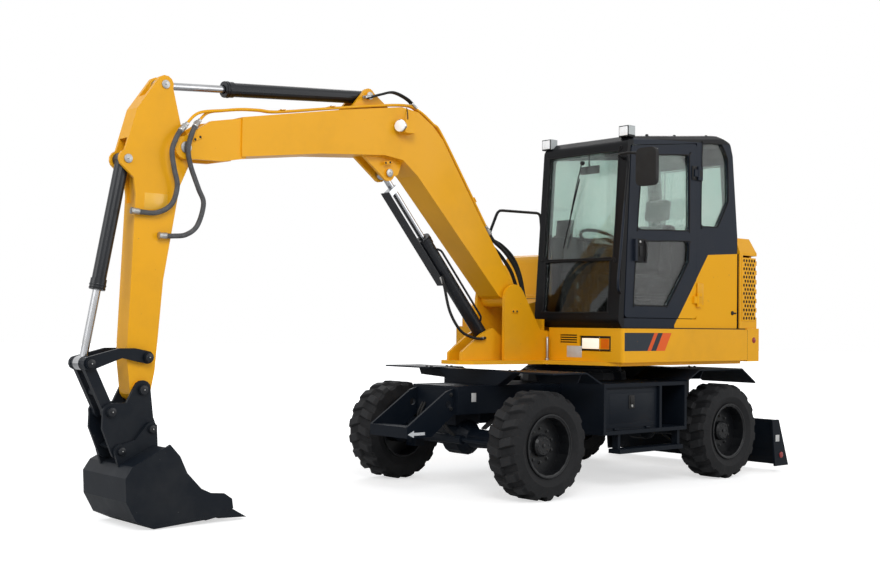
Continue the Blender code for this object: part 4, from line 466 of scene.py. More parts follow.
lines = [hose("line", [(0.10, 0.120 + 0.022 * k, 0.610), (0.30, 0.180 + 0.02 * k, 0.600),
                       (0.70, 0.200 + 0.02 * k, 0.598), (1.05, 0.190 + 0.02 * k, 0.590),
                       (1.22, 0.200 + 0.02 * k, 0.545), (1.30, 0.190 + 0.02 * k, 0.490)], 0.009, HOSE_BLACK,
              sides=10) for k in range(3)]
together("axle_lines", lines, "undercarriage")
for s in (1, -1):
    steering_lines = []
    for k in range(2):
        route = [(1.655, s * (0.10 + 0.03 * k), 0.700), (1.690, s * (0.12 + 0.03 * k), 0.600),
                 (1.650, s * (0.15 + 0.02 * k), 0.500), (1.590, s * (0.16 + 0.02 * k), 0.452)]
        steering_lines.append(hose("line", route, 0.010, HOSE_BLACK, sides=10))
    together("steering_lines_" + ("left" if s > 0 else "right"), steering_lines, "undercarriage")


# Tyres: traction tyres of black rubber with slanted lugs. Wear greys the lugs' faces, dust lies in the
# grooves and on the side walls, which carry fine moulded rings.
WHEEL_RADIUS = 0.415
TYRE_MIDDLE_Y = 0.850


def tyre_rubber(name, centre):
    """Rubber with its wear and its moulded rings about a wheel's own middle."""
    rubber, nodes, links, shader = material(name)
    shader.inputs["Specular IOR Level"].default_value = 0.25
    where = nodes.new("ShaderNodeTexCoord").outputs["Object"]
    centred = node(nodes, "Mapping", {"Location": -centre, "Vector": where})
    flat = node(nodes, "VectorMath", {0: centred.outputs["Vector"], 1: (1, 0, 1)}, operation="MULTIPLY")
    reach = node(nodes, "VectorMath", {0: flat.outputs["Vector"]}, operation="LENGTH")
    dust = node(nodes, "TexNoise", {"Scale": 7.0, "Detail": 8.0, "Roughness": 0.68})
    grain = node(nodes, "TexNoise", {"Scale": 260.0})
    links.new(where, dust.inputs["Vector"])
    links.new(where, grain.inputs["Vector"])
    shade = ramp(nodes, dust.outputs["Fac"], (0.40, (0.0060, 0.0064, 0.0074)),
                 (0.78, (0.0170, 0.0170, 0.0180)))
    worn = node(nodes, "MapRange", {"From Min": WHEEL_RADIUS - 0.010, "From Max": WHEEL_RADIUS,
                                    "Value": reach.outputs["Value"]})
    tread = node(nodes, "Mix", {"B": (0.0190, 0.0195, 0.0210, 1), "Factor": worn.outputs["Result"],
                                "A": shade}, data_type="RGBA")
    links.new(tread.outputs["Result"], shader.inputs["Base Color"])
    rough = node(nodes, "MapRange", {"To Min": 0.62, "To Max": 0.86, "Value": dust.outputs["Fac"]})
    links.new(rough.outputs["Result"], shader.inputs["Roughness"])
    rings = node(nodes, "Math", operation="SINE")
    rate = node(nodes, "Math", {0: reach.outputs["Value"], 1: 2 * pi / 0.011}, operation="MULTIPLY")
    links.new(rate.outputs[0], rings.inputs[0])
    ridge = node(nodes, "Math", {0: rings.outputs[0], 1: 0.22, 2: grain.outputs["Fac"]},
                 operation="MULTIPLY_ADD")
    relief = node(nodes, "Bump", {"Strength": 0.35, "Distance": 0.0012, "Height": ridge.outputs[0]})
    links.new(relief.outputs["Normal"], shader.inputs["Normal"])
    return rubber


# Wheels: welded steel discs in black enamel, bolted on the hub by ten nuts round the hub's cap, with a
# lock ring at the outer bead and a valve that reaches out of the barrel.
RIM_BLACK = enamel("rim_enamel", (0.0055, 0.0062, 0.0075), (0.0170, 0.0170, 0.0175), (0.05, 0.05, 0.05),
                   roughness=0.38, coat=0.06, cloud=4.0, gloss=0.25)
WHEEL_NUTS = 10
NUT_RING = 0.128
DISC_FACE = 0.030          # outward of the tyre's middle
for end, axle_x in (("front", FRONT_AXLE_X), ("rear", -0.950)):
    for s, side in ((1, "left"), (-1, "right")):
        tag = end + "_" + side
        wheel = "wheel_" + tag
        middle = (axle_x, s * TYRE_MIDDLE_Y, WHEEL_RADIUS)
        dress(tyre_rubber("tyre_rubber_" + tag, place(*middle)), "tyre_" + tag)
        dress(RIM_BLACK, "rim_" + tag)
        disc_y = s * (TYRE_MIDDLE_Y + DISC_FACE)
        around = [(2 * pi * (k + 0.5) / WHEEL_NUTS) for k in range(WHEEL_NUTS)]
        spots = [(axle_x + NUT_RING * cos(a), disc_y, WHEEL_RADIUS + NUT_RING * sin(a)) for a in around]
        bolts("wheel_nuts_" + tag, spots, (0, s, 0), 0.013, BOLT_BLACK, wheel, head=0.9)
        cap_y = s * (TYRE_MIDDLE_Y + DISC_FACE + 0.045)
        around = [(2 * pi * k / 8) for k in range(8)]
        spots = [(axle_x + 0.055 * cos(a), cap_y, WHEEL_RADIUS + 0.055 * sin(a)) for a in around]
        cap_bolts = bolts("cap_bolts_" + tag, spots, (0, s, 0), 0.006, BOLT_BLACK)
        plug = drum("plug", (axle_x, cap_y + s * 0.003, WHEEL_RADIUS), 0.016, 0.008, (0, s, 0), BOLT_BLACK,
                    sides=6, edge=0.001)
        together("hub_cap_" + tag, [cap_bolts, plug], wheel)
        # The lock ring is spun from a round section and lies against the rim's flange
        clear()
        bpy.ops.mesh.primitive_torus_add(major_radius=0.236, minor_radius=0.007, major_segments=64,
                                         minor_segments=10,
                                         location=place(axle_x, s * (TYRE_MIDDLE_Y + 0.137), WHEEL_RADIUS),
                                         rotation=(pi / 2, 0, 0))
        ring = named("lock_ring_" + tag)
        ring.scale = (1, 1, 0.8)
        settle(ring, RIM_BLACK, wheel)
        valve = [hose("valve", [(axle_x + 0.190, s * 0.890, WHEEL_RADIUS),
                                (axle_x + 0.195, s * 0.925, WHEEL_RADIUS),
                                (axle_x + 0.198, s * 0.955, WHEEL_RADIUS)], 0.005, HOSE_BLACK, sides=10),
                 drum("valve_cap", (axle_x + 0.198, s * 0.960, WHEEL_RADIUS), 0.006, 0.014, (0, s, 0),
                      HOSE_BLACK, sides=12, edge=0.001)]
        together("valve_" + tag, valve, wheel)


# Upper structure: deck, posts, skirts, hoods and counterweight in yellow machine enamel. The left skirt
# carries a painted band of dark grey with two slanted orange stripes.
SUN_YELLOW = (0.840, 0.395, 0.006)
SHADED_DUST = (0.720, 0.345, 0.014)
YELLOW_CHIP = (0.46, 0.23, 0.03)
BAND_GREY = (0.020, 0.027, 0.036)
STRIPE_RED = (0.70, 0.095, 0.016)
STRIPE_ORANGE = (0.78, 0.115, 0.016)
YELLOW = enamel("yellow_enamel", SUN_YELLOW, SHADED_DUST, YELLOW_CHIP, coat=0.08, gloss=0.20)
low, high = 1.128, 1.276          # of the painted band
band = [zone(BAND_GREY, [(0.500, low), (0.500, high), (0.010, high), (0.098, low)]),
        zone(STRIPE_RED, [(0.212, low), (0.122, high), (0.075, high), (0.165, low)]),
        zone(STRIPE_ORANGE, [(0.100, low), (0.012, high), (-0.105, high), (-0.017, low)]), ]
BANDED = enamel("banded_enamel", SUN_YELLOW, SHADED_DUST, YELLOW_CHIP, coat=0.08, gloss=0.20, zones=band)
dress(YELLOW, "house_frame", "skirt_right", "counterweight", "engine_hood", "boom")
dress(BANDED, "skirt_left")


# Hoods: pressed sheet with a grab rail painted black, panel gaps holding dark strips that paint their shade,
# a hinge and a key lock, and rows of round holes that let the engine's air out.
right_hood_paint = enamel("right_hood_enamel", SUN_YELLOW, SHADED_DUST, YELLOW_CHIP, coat=0.08, gloss=0.20)
dress(right_hood_paint, "right_hood")
nodes, links = right_hood_paint.node_tree.nodes, right_hood_paint.node_tree.links
shader = nodes["Principled BSDF"]
painted = shader.inputs["Base Color"].links[0].from_socket
where = nodes.new("ShaderNodeTexCoord").outputs["Object"]
RAIL_TOP_Z, RAIL_FOOT_Z, RAIL_X = 1.993, 1.565, 0.115
split = node(nodes, "SeparateXYZ", {0: where})
above = node(nodes, "Math", {0: split.outputs["Z"], 1: RAIL_TOP_Z}, operation="GREATER_THAN")
ahead = node(nodes, "Math", {0: split.outputs["X"], 1: place(RAIL_X, 0, 0).x}, operation="GREATER_THAN")
over = node(nodes, "Math", {0: split.outputs["Z"], 1: RAIL_FOOT_Z}, operation="GREATER_THAN")
front_part = node(nodes, "Math", {0: ahead.outputs[0], 1: over.outputs[0]}, operation="MULTIPLY")
on_rail = node(nodes, "Math", {0: above.outputs[0], 1: front_part.outputs[0]}, operation="MAXIMUM")
rail_paint = node(nodes, "Mix", {"B": (0.006, 0.007, 0.009, 1), "Factor": on_rail.outputs[0], "A": painted},
                  data_type="RGBA")
links.new(rail_paint.outputs["Result"], shader.inputs["Base Color"])

SEAL = enamel("rubber_seal", (0.0055, 0.0055, 0.0060), (0.0120, 0.0115, 0.0110), (0.03, 0.03, 0.03),
              roughness=0.66, coat=0.0, cloud=16.0, gloss=0.25)
CAB_SIDE_Y = 0.970
# Gaps round the side panel, between the cab and the hood: thin dark strips that paint the shade in them
plate("hood_gap_painted_shade", (-1.1015, 0.940, 1.322), (-1.0975, 0.974, 1.985), SEAL, "house", edge=0.001)
plate("tail_gap_painted_shade", (-1.2025, 0.985, 1.040), (-1.1995, 1.0007, 1.306), SEAL, "house", edge=0.0008)
plate("skirt_gap_painted_shade", (-1.190, 0.940, 1.308), (0.500, 0.984, 1.318), SEAL, "house", edge=0.002)

# Air outlet: a punched sheet over the slots, its round holes in staggered rows
outlet = plate("air_outlet", (-1.345, 0.9855, 1.385), (-1.135, 0.9895, 1.955), YELLOW, edge=0.0015)
holes = []
ROWS, COLUMNS = 15, 5
HOLE_RADIUS, ROW_STEP, COLUMN_STEP = 0.0148, 0.0369, 0.0405
for row in range(ROWS):
    for column in range(COLUMNS):
        x = -1.325 + COLUMN_STEP * column + (0.020 if row % 2 else 0)
        if x > -1.150:
            continue
        clear()
        bpy.ops.mesh.primitive_cylinder_add(vertices=12, radius=HOLE_RADIUS, depth=0.05,
                                            rotation=(pi / 2, 0, 0),
                                            location=place(x, 0.9875, 1.412 + ROW_STEP * row))
        holes.append(named("hole"))
punch = together("punch", holes)
hole_cut = outlet.modifiers.new("holes", "BOOLEAN")
hole_cut.operation = "DIFFERENCE"
hole_cut.object = punch
pick(outlet)
bpy.ops.object.modifier_apply(modifier="holes")
bpy.data.objects.remove(punch)
settle(outlet, YELLOW)
backing = plate("outlet_shade", (-1.340, 0.9845, 1.390), (-1.140, 0.9857, 1.950), SEAL, edge=0.0004)
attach(backing, "house")
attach(outlet, "house")

# Side panel's hinge and its lock
hinge = [plate("hinge", (-0.572, 0.9690, 1.520), (-0.4835, 0.9830, 1.705), YELLOW, edge=0.004),
         drum("pin", (-0.4890, 0.9830, 1.6125), 0.0085, 0.190, (0, 0, 1), YELLOW, sides=16, edge=0.0015)]
together("panel_hinge", hinge, "house")
for x, z in ((-1.010, 1.455),):
    lock = [drum("lock", (x, 0.9725, z), 0.019, 0.010, (0, 1, 0), LATCH_BLACK, sides=24, edge=0.0015),
            plate("lever", (x - 0.058, 0.9700, z - 0.008), (x - 0.012, 0.9760, z + 0.006), LATCH_BLACK,
                  edge=0.002),
            plate("keyway", (x - 0.002, 0.9755, z - 0.007), (x + 0.002, 0.9775, z + 0.007), SEAL,
                  edge=0.0005)]
    together("panel_lock", lock, "house")


# Headlight: a clear pressed lens over a bright reflector, with an amber indicator beside it, in one
# black tray. The tray fills the skirt's recess and is held by two screws.
tray = plate("lamp_tray", (0.4895, 0.543, 1.126), (0.5135, 0.862, 1.240), LATCH_BLACK, edge=0.004,
             segments=3)
recess(tray, (1, 0, 0), 0.01, (0.008, 0), (0.002, -0.012))
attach(tray, "house")


def lamp_glass(name, colour, glow, transmission, flutes):
    """Pressed lamp glass: fine upright flutes, a little haze and the lit bulb's colour."""
    lens, nodes, links, shader = material(name)
    shader.inputs["Base Color"].default_value = (*colour, 1)
    shader.inputs["Transmission Weight"].default_value = transmission
    shader.inputs["IOR"].default_value = 1.45
    shader.inputs["Coat Weight"].default_value = 0.4
    where = nodes.new("ShaderNodeTexCoord").outputs["Object"]
    wave = node(nodes, "TexWave")
    wave.bands_direction = "Y"
    wave.inputs["Scale"].default_value = flutes
    links.new(where, wave.inputs["Vector"])
    haze = node(nodes, "TexNoise", {"Scale": 40.0, "Vector": where})
    rough = node(nodes, "MapRange", {"To Min": 0.06, "To Max": 0.22, "Value": haze.outputs["Fac"]})
    links.new(rough.outputs["Result"], shader.inputs["Roughness"])
    relief = node(nodes, "Bump", {"Strength": 0.6, "Distance": 0.002, "Height": wave.outputs["Fac"]})
    links.new(relief.outputs["Normal"], shader.inputs["Normal"])
    shader.inputs["Emission Color"].default_value = (*glow[0], 1)
    bulb = node(nodes, "MapRange", {"To Min": glow[1] * 0.7, "To Max": glow[1], "Value": haze.outputs["Fac"]})
    links.new(bulb.outputs["Result"], shader.inputs["Emission Strength"])
    return lens


LIT_LENS = lamp_glass("lit_lens", (0.92, 0.92, 0.90), ((1.0, 0.84, 0.60), 0.60), 0.0, 42.0)
AMBER_LENS = lamp_glass("amber_lens", (0.80, 0.18, 0.015), ((1.0, 0.20, 0.02), 0.30), 0.0, 60.0)
plate("head_lens", (0.5010, 0.553, 1.137), (0.5130, 0.742, 1.229), LIT_LENS, "house", edge=0.006,
      segments=4)
plate("indicator_lens", (0.5010, 0.752, 1.137), (0.5120, 0.850, 1.229), AMBER_LENS, "house", edge=0.005,
      segments=4)
bolts("lamp_screws", [(0.5135, 0.747, 1.131), (0.5135, 0.747, 1.235)], (1, 0, 0), 0.0035, ZINC, "house",
      head=0.4)

# Plain plate beside the lamp: thin aluminium, glued on
LABEL = enamel("label_plate", (0.56, 0.56, 0.55), (0.46, 0.45, 0.42), (0.62, 0.62, 0.62), roughness=0.42,
               coat=0.1, cloud=10.0)
plate("front_label", (0.5200, 0.395, 1.066), (0.5212, 0.560, 1.160), LABEL, "house", edge=0.0004)

# A dark plate behind the skirt's slots, which paints the shade in them
plate("slot_painted_shade", (0.5005, 0.310, 1.178), (0.5035, 0.510, 1.260), SEAL, "house", edge=0.0005)

# Slewing lock: a zinc plated pin that drops through two eyes on the deck's front
pin = [drum("pin", (0.558, 0.205, 1.110), 0.011, 0.235, (0, 0, 1), ZINC, sides=24, edge=0.003),
       drum("collar", (0.558, 0.205, 1.040), 0.019, 0.016, (0, 0, 1), ZINC, sides=24, edge=0.002),
       drum("head", (0.558, 0.205, 1.224), 0.013, 0.010, (0, 0, 1), ZINC, sides=24, edge=0.002)]
together("slew_lock_pin", pin, "house")
plate("slew_lock_eye", (0.520, 0.176, 1.008), (0.592, 0.234, 1.030), YELLOW, "house", edge=0.004)

# Reflectors at the counterweight's corners: moulded red prisms, glued on
RED_PRISM = lamp_glass("red_prism", (0.30, 0.012, 0.010), ((1, 0, 0), 0.0), 0.0, 300.0)
for s, side in ((1, "left"), (-1, "right")):
    drum("tail_reflector_" + side, (-1.300, s * 1.0005, 1.215), 0.026, 0.008, (0, s, 0), RED_PRISM, "house",
         sides=32, edge=0.002)


# Cab: a welded frame of pressed steel in dark blue-grey enamel, black and glossier round the windscreen.
# The yellow of the rear side panel runs forward in a point across the door's lower rear corner.
CAB_GREY = (0.0095, 0.0140, 0.0235)
CAB_BLACK = (0.0035, 0.0040, 0.0052)
CAB_DUST = (0.0190, 0.0220, 0.0290)
yellow_flank = zone(SUN_YELLOW, [(-0.180, 1.343), (-0.649, 1.955), (-1.120, 1.986), (-1.120, 1.300),
                                 (-0.180, 1.300)])
yellow_flank[1].append((Vector((0, 1, 0)), place(0, 0.930, 0).y))
front_frame = zone(CAB_BLACK, [(0.478, 1.300), (0.590, 1.300), (0.480, 2.915), (0.355, 2.915)])
roof_edge = zone(CAB_BLACK, [(-1.200, 2.963), (0.700, 2.850), (0.700, 3.100), (-1.200, 3.100)])
LAMP_SHELL = (0.50, 0.53, 0.53)
left_lamp = zone(LAMP_SHELL, [(0.332, 2.893), (0.420, 2.893), (0.420, 2.975), (0.332, 2.975)])
left_lamp[1].append((Vector((0, 1, 0)), place(0, 0.850, 0).y))
right_lamp = zone(LAMP_SHELL, [(0.358, 2.872), (0.445, 2.845), (0.445, 2.940), (0.358, 2.940)])
right_lamp[1].append((Vector((0, -1, 0)), -place(0, 0.118, 0).y))
lamp_shells = (left_lamp, right_lamp)
dress(enamel("cab_enamel", CAB_GREY, CAB_DUST, (0.09, 0.09, 0.095), roughness=0.36, coat=0.04, gloss=0.13,
             zones=(front_frame, roof_edge, yellow_flank) + lamp_shells), "cab_shell")
dress(enamel("door_enamel", CAB_GREY, CAB_DUST, (0.09, 0.09, 0.095), roughness=0.36, coat=0.04, gloss=0.13,
             zones=(yellow_flank,)), "cab_door")


# Cab glass: tempered, pale green, 5 mm thick, set in black rubber and bonded along its edge. Dust and
# dried drops lie on it.
GLASS, nodes, links, shader = material("green_glass")
shader.inputs["Transmission Weight"].default_value = 1.0
shader.inputs["IOR"].default_value = 1.45
shader.inputs["Alpha"].default_value = 0.80
shader.inputs["Specular IOR Level"].default_value = 0.12
where = nodes.new("ShaderNodeTexCoord").outputs["Object"]
film = node(nodes, "TexNoise", {"Scale": 3.0, "Detail": 6.0, "Vector": where})
tint = ramp(nodes, film.outputs["Fac"], (0.30, (0.50, 0.66, 0.60)), (0.80, (0.62, 0.72, 0.66)))
links.new(tint, shader.inputs["Base Color"])
smear = node(nodes, "MapRange", {"From Min": 0.45, "From Max": 0.85, "To Min": 0.012, "To Max": 0.11,
                                 "Value": film.outputs["Fac"]})
links.new(smear.outputs["Result"], shader.inputs["Roughness"])
sag = node(nodes, "TexNoise", {"Scale": 2.2, "Vector": where})
relief = node(nodes, "Bump", {"Strength": 0.05, "Distance": 0.004, "Height": sag.outputs["Fac"]})
links.new(relief.outputs["Normal"], shader.inputs["Normal"])
dress(GLASS, "glass_rear_left", "glass_right", "windscreen_upper", "glass_rear", "door_glass_upper")
# The two low panes get a darker copy of the glass, which paints shade on them
PAINTED_SHADE_GLASS = GLASS.copy()
PAINTED_SHADE_GLASS.name = "glass_painted_shade"
painted_shade_ramp = [item for item in PAINTED_SHADE_GLASS.node_tree.nodes if item.bl_idname == "ShaderNodeValToRGB"][0]
painted_shade_ramp.color_ramp.elements[0].color = (0.14, 0.19, 0.18, 1)
painted_shade_ramp.color_ramp.elements[1].color = (0.20, 0.25, 0.24, 1)
dress(PAINTED_SHADE_GLASS, "windscreen_lower", "door_glass_lower")


def bead(name, corners, radius, body):
    """A rubber bead round a pane: a closed bar through the corners, rounded at each of them."""
    rounded = []
    for i, corner in enumerate(corners):
        corner = Vector(corner)
        for other in (corners[i - 1], corners[(i + 1) % len(corners)]):
            rounded.append(corner + (Vector(other) - corner).normalized() * 0.030)
    middle = (rounded[0] + rounded[-1]) / 2
    rounded = [middle] + rounded + [middle]
    return hose(name, rounded, radius, SEAL, body, sides=8, spacing=0.012)


DOOR_UPPER = [(0.320, 2.120), (0.255, 2.735), (-0.372, 2.800), (-0.378, 2.150)]
DOOR_LOWER = [(0.365, 1.500), (0.325, 2.020), (-0.375, 2.060), (-0.370, 1.880), (-0.080, 1.500)]
REAR_LEFT = [(-0.545, 2.200), (-0.560, 2.915), (-0.840, 2.945), (-0.935, 2.820), (-0.945, 2.440),
             (-0.790, 2.205)]
DOOR_FACE_Y = 0.974
bead("door_bead_upper", [(x, DOOR_FACE_Y, z) for x, z in DOOR_UPPER], 0.005, "door")
bead("door_bead_lower", [(x, DOOR_FACE_Y, z) for x, z in DOOR_LOWER], 0.005, "door")
bead("rear_bead_left", [(x, CAB_SIDE_Y, z) for x, z in REAR_LEFT], 0.005, "house")


def screen_x(z):
    """The windscreen's outer face at a height."""
    return 0.548 + (0.440 - 0.548) * (z - 1.370) / (2.830 - 1.370)


for name, (near_y, far_y), (low_z, high_z) in (("upper", (0.110, 0.880), (1.885, 2.760)),
                                               ("lower", (0.140, 0.850), (1.440, 1.865))):
    bead("screen_bead_" + name, [(screen_x(z) + 0.001, y, z) for y, z in (
        (near_y, low_z), (far_y, low_z), (far_y, high_z), (near_y, high_z))], 0.0055, "house")
bead("rear_screen_bead", [(-1.086, y, z) for y, z in ((0.16, 2.18), (0.86, 2.18), (0.86, 2.78),
                                                      (0.16, 2.78))], 0.005, "house")


# Door furniture: a strap hinge in two leaves and a moulded grip in a recess with a key lock, all black
# and screwed on, with moulded plugs along the roof's edge.
for z, half in ((2.650, 0.060),):
    plate("strap_frame_%d" % (z * 100), (-0.560, 0.9705, z - half), (-0.492, 0.9790, z + half), LATCH_BLACK,
          "house", edge=0.002)
    plate("strap_door_%d" % (z * 100), (-0.470, 0.9745, z - half), (-0.405, 0.9825, z + half), LATCH_BLACK,
          "door", edge=0.002)
    bolts("strap_bolts_%d" % (z * 100), [(-0.430, 0.9825, z - 0.040), (-0.430, 0.9825, z + 0.040)],
          (0, 1, 0), 0.0065, BOLT_BLACK, "door")
grip = [plate("tray", (0.200, 0.9742, 1.850), (0.330, 0.9782, 2.045), SEAL, edge=0.0018),
        hose("grip", [(0.230, 0.978, 1.865), (0.226, 0.990, 1.885), (0.225, 0.992, 1.945),
                      (0.226, 0.990, 2.005),
                      (0.230, 0.978, 2.030)], 0.009, LATCH_BLACK, sides=12, spacing=0.010),
        plate("trigger", (0.262, 0.977, 1.900), (0.300, 0.986, 1.985), LATCH_BLACK, edge=0.004, segments=3),
        drum("key", (0.290, 0.980, 2.020), 0.010, 0.008, (0, 1, 0), ZINC, sides=20, edge=0.0012)]
together("door_grip", grip, "door")
for x, z in ((-0.700, 2.988), (-0.250, 2.940), (0.120, 2.905)):
    drum("roof_plug_%d" % abs(int(x * 1000)), (x, 0.905, z + 0.012), 0.017, 0.026, (0, 0, 1), LATCH_BLACK,
         "house", sides=20, edge=0.006, end=0.012)


# Roof lamps and mirror: moulded black housings. The lamps have pressed white glass, the mirror has a
# silvered face with a black rim and hangs on its bar.
FAINT_LENS = lamp_glass("work_lamp_glass", (0.80, 0.82, 0.84), ((1.0, 0.97, 0.92), 0.25), 0.0, 50.0)
for tag, (x, y, z) in (("left", (0.375, 0.905, 2.922)), ("right", (0.400, 0.065, 2.890))):
    plate("roof_lamp_rim_" + tag, (x + 0.0400, y - 0.050, z - 0.044), (x + 0.0460, y + 0.050, z + 0.044),
          LATCH_BLACK, "house", edge=0.0028)
    plate("roof_lamp_lens_" + tag, (x + 0.0430, y - 0.043, z - 0.037), (x + 0.0500, y + 0.043, z + 0.037),
          FAINT_LENS, "house", edge=0.0032)
dress(LATCH_BLACK, "mirror_left")
SILVERED = enamel("silvered_glass", (0.80, 0.82, 0.82), (0.62, 0.63, 0.62), (0.5, 0.5, 0.5), roughness=0.08,
                  coat=0.0, peel=0.01, chips=0.80)
SILVERED.node_tree.nodes["Principled BSDF"].inputs["Metallic"].default_value = 1.0
plate("mirror_face", (0.5725, 1.203, 2.443), (0.5752, 1.377, 2.717), SILVERED, "house", edge=0.001)

# Wiper: a zinc motor boss below the screen, a sprung arm and a rubber blade that lies on the glass
wiper = [drum("boss", (screen_x(2.690) + 0.012, 0.500, 2.690), 0.018, 0.022, (1, 0, 0.074), LATCH_BLACK,
              sides=20, edge=0.003),
         hose("arm", [(screen_x(2.690) + 0.020, 0.500, 2.690), (screen_x(2.500) + 0.021, 0.455, 2.500),
                      (screen_x(2.260) + 0.012, 0.400, 2.260)], 0.0045, LATCH_BLACK, sides=10,
              spacing=0.03),
         hose("blade", [(screen_x(2.560) + 0.004, 0.470, 2.560), (screen_x(2.270) + 0.004, 0.400, 2.270),
                        (screen_x(1.980) + 0.004, 0.335, 1.980)], 0.0060, SEAL, sides=8, spacing=0.05)]
together("wiper", wiper, "house")


# Operator's seat: a foam cushion, back and head rest in dark grey fabric on a painted suspension box,
# with a moulded console and a control lever. The foam is swelled by a cloth simulation.
FLOOR_Z = 1.3606
FABRIC, nodes, links, shader = material("seat_fabric")
shader.inputs["Sheen Weight"].default_value = 0.35
where = nodes.new("ShaderNodeTexCoord").outputs["Object"]
weave = node(nodes, "TexVoronoi", {"Scale": 420.0, "Vector": where})
fade = node(nodes, "TexNoise", {"Scale": 6.0, "Detail": 6.0, "Vector": where})
cloth = ramp(nodes, fade.outputs["Fac"], (0.35, (0.0080, 0.0085, 0.0100)), (0.75, (0.0200, 0.0205, 0.0225)))
links.new(cloth, shader.inputs["Base Color"])
matt = node(nodes, "MapRange", {"To Min": 0.80, "To Max": 0.95, "Value": fade.outputs["Fac"]})
links.new(matt.outputs["Result"], shader.inputs["Roughness"])
relief = node(nodes, "Bump", {"Strength": 0.5, "Distance": 0.001, "Height": weave.outputs["Distance"]})
links.new(relief.outputs["Normal"], shader.inputs["Normal"])
SWELL_LIMIT = 0.014
VOXEL = 0.009
CLOTH_STEPS = 12
SEAT_LEAN = radians(-9.5)


def cushion(name, low, high, lean):
    """A foam pad: a rounded block swelled as cloth under pressure, leaned about its lower rear edge."""
    low, high = Vector(low), Vector(high)
    clear()
    bpy.ops.mesh.primitive_cube_add(size=1, location=place(*((low + high) / 2)))
    pad = named(name)
    pad.scale = high - low
    bpy.ops.object.transform_apply(location=True, rotation=False, scale=True)
    soften(pad, 0.030, 4)
    remesh = pad.modifiers.new("even", "REMESH")
    remesh.mode = "VOXEL"
    remesh.voxel_size = VOXEL
    bpy.ops.object.modifier_apply(modifier="even")
    start = [vertex.co.copy() for vertex in pad.data.vertices]
    swell = pad.modifiers.new("swell", "CLOTH")
    swell.settings.use_pressure = True
    swell.settings.uniform_pressure_force = 4.0
    swell.settings.effector_weights.gravity = 0.0
    swell.settings.quality = 4
    for step in range(1, CLOTH_STEPS + 1):
        bpy.context.scene.frame_set(step)
    bpy.ops.object.modifier_apply(modifier="swell")
    bpy.context.scene.frame_set(1)
    for vertex, before in zip(pad.data.vertices, start):
        shift = vertex.co - before
        if shift.length > SWELL_LIMIT:
            vertex.co = before + shift * (SWELL_LIMIT / shift.length)
    foot = place(low.x, (low.y + high.y) / 2, low.z)
    pad.data.transform(Matrix.Translation(foot) @ Matrix.Rotation(lean, 4, "Y") @ Matrix.Translation(-foot))
    finer = pad.modifiers.new("finer", "SUBSURF")
    finer.levels = finer.render_levels = 1
    pick(pad)
    bpy.ops.object.modifier_apply(modifier="finer")
    settle(pad, FABRIC, "house")
    pad.data.shade_smooth()
    return pad


cushion("seat_cushion", (-0.490, 0.285, FLOOR_Z + 0.235), (0.040, 0.735, FLOOR_Z + 0.395), 0.0)
cushion("seat_back", (-0.475, 0.305, FLOOR_Z + 0.385), (-0.365, 0.715, FLOOR_Z + 0.860), SEAT_LEAN)
cushion("head_rest", (-0.555, 0.385, FLOOR_Z + 0.900), (-0.470, 0.635, FLOOR_Z + 1.085), SEAT_LEAN)
CAB_TRIM = enamel("cab_trim", (0.0080, 0.0085, 0.0100), (0.0180, 0.0180, 0.0190), (0.05, 0.05, 0.05),
                  roughness=0.55, coat=0.0, cloud=6.0, peel=0.4, gloss=0.30)
base = [plate("box", (-0.470, 0.300, FLOOR_Z + 0.002), (-0.030, 0.720, FLOOR_Z + 0.060), CAB_TRIM,
              edge=0.006),
        plate("bellows", (-0.440, 0.330, FLOOR_Z + 0.055), (-0.060, 0.690, FLOOR_Z + 0.200), CAB_TRIM,
              edge=0.010),
        plate("pan", (-0.480, 0.300, FLOOR_Z + 0.195), (0.010, 0.720, FLOOR_Z + 0.225), CAB_TRIM,
              edge=0.010)]
for k in range(4):
    base.append(plate("fold", (-0.448, 0.322, FLOOR_Z + 0.075 + 0.030 * k),
                      (-0.052, 0.698, FLOOR_Z + 0.088 + 0.030 * k), CAB_TRIM, edge=0.005))
for s in (-1, 1):
    base.append(hose("stay", [(-0.520, 0.510 + s * 0.070, FLOOR_Z + 0.800),
                              (-0.545, 0.510 + s * 0.070, FLOOR_Z + 0.900),
                              (-0.560, 0.510 + s * 0.070, FLOOR_Z + 0.980)], 0.006, CAB_TRIM, sides=10))
together("seat_base", base, "house")
console = [plate("console", (-0.490, 0.105, FLOOR_Z + 0.002), (0.090, 0.255, FLOOR_Z + 0.420), CAB_TRIM,
                 edge=0.020, segments=4),
           plate("arm_rest", (-0.480, 0.110, FLOOR_Z + 0.420), (-0.130, 0.250, FLOOR_Z + 0.470), CAB_TRIM,
                 edge=0.016, segments=4),
           hose("lever", [(0.035, 0.165, FLOOR_Z + 0.410), (0.040, 0.165, FLOOR_Z + 0.520),
                          (0.030, 0.165, FLOOR_Z + 0.600)], 0.009, CAB_TRIM, sides=12),
           drum("boot", (0.036, 0.165, FLOOR_Z + 0.445), 0.034, 0.060, (0, 0, 1), SEAL, sides=24,
                edge=0.006, end=0.014),
           drum("knob", (0.028, 0.165, FLOOR_Z + 0.655), 0.019, 0.130, (-0.12, 0, 1), LATCH_BLACK,
                sides=24, edge=0.010, end=0.024)]
together("control_console", console, "house")
for piece in ("seat_cushion", "seat_back", "head_rest", "seat_base", "control_console"):
    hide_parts("operator_seat")
dress(CAB_TRIM, "steering_wheel")


# Trim below the cab's right window: a flat panel with a rounded ledge, moulded in dark plastic and
# screwed to the cab's side.
side_trim = [plate("trim", (-0.940, 0.098, FLOOR_Z + 0.010), (0.400, 0.104, 2.090), CAB_TRIM, edge=0.0025),
             plate("ledge", (-0.900, 0.098, 2.080), (0.380, 0.130, 2.105), CAB_TRIM, edge=0.010,
                   segments=3)]
together("side_trim", side_trim, "house")


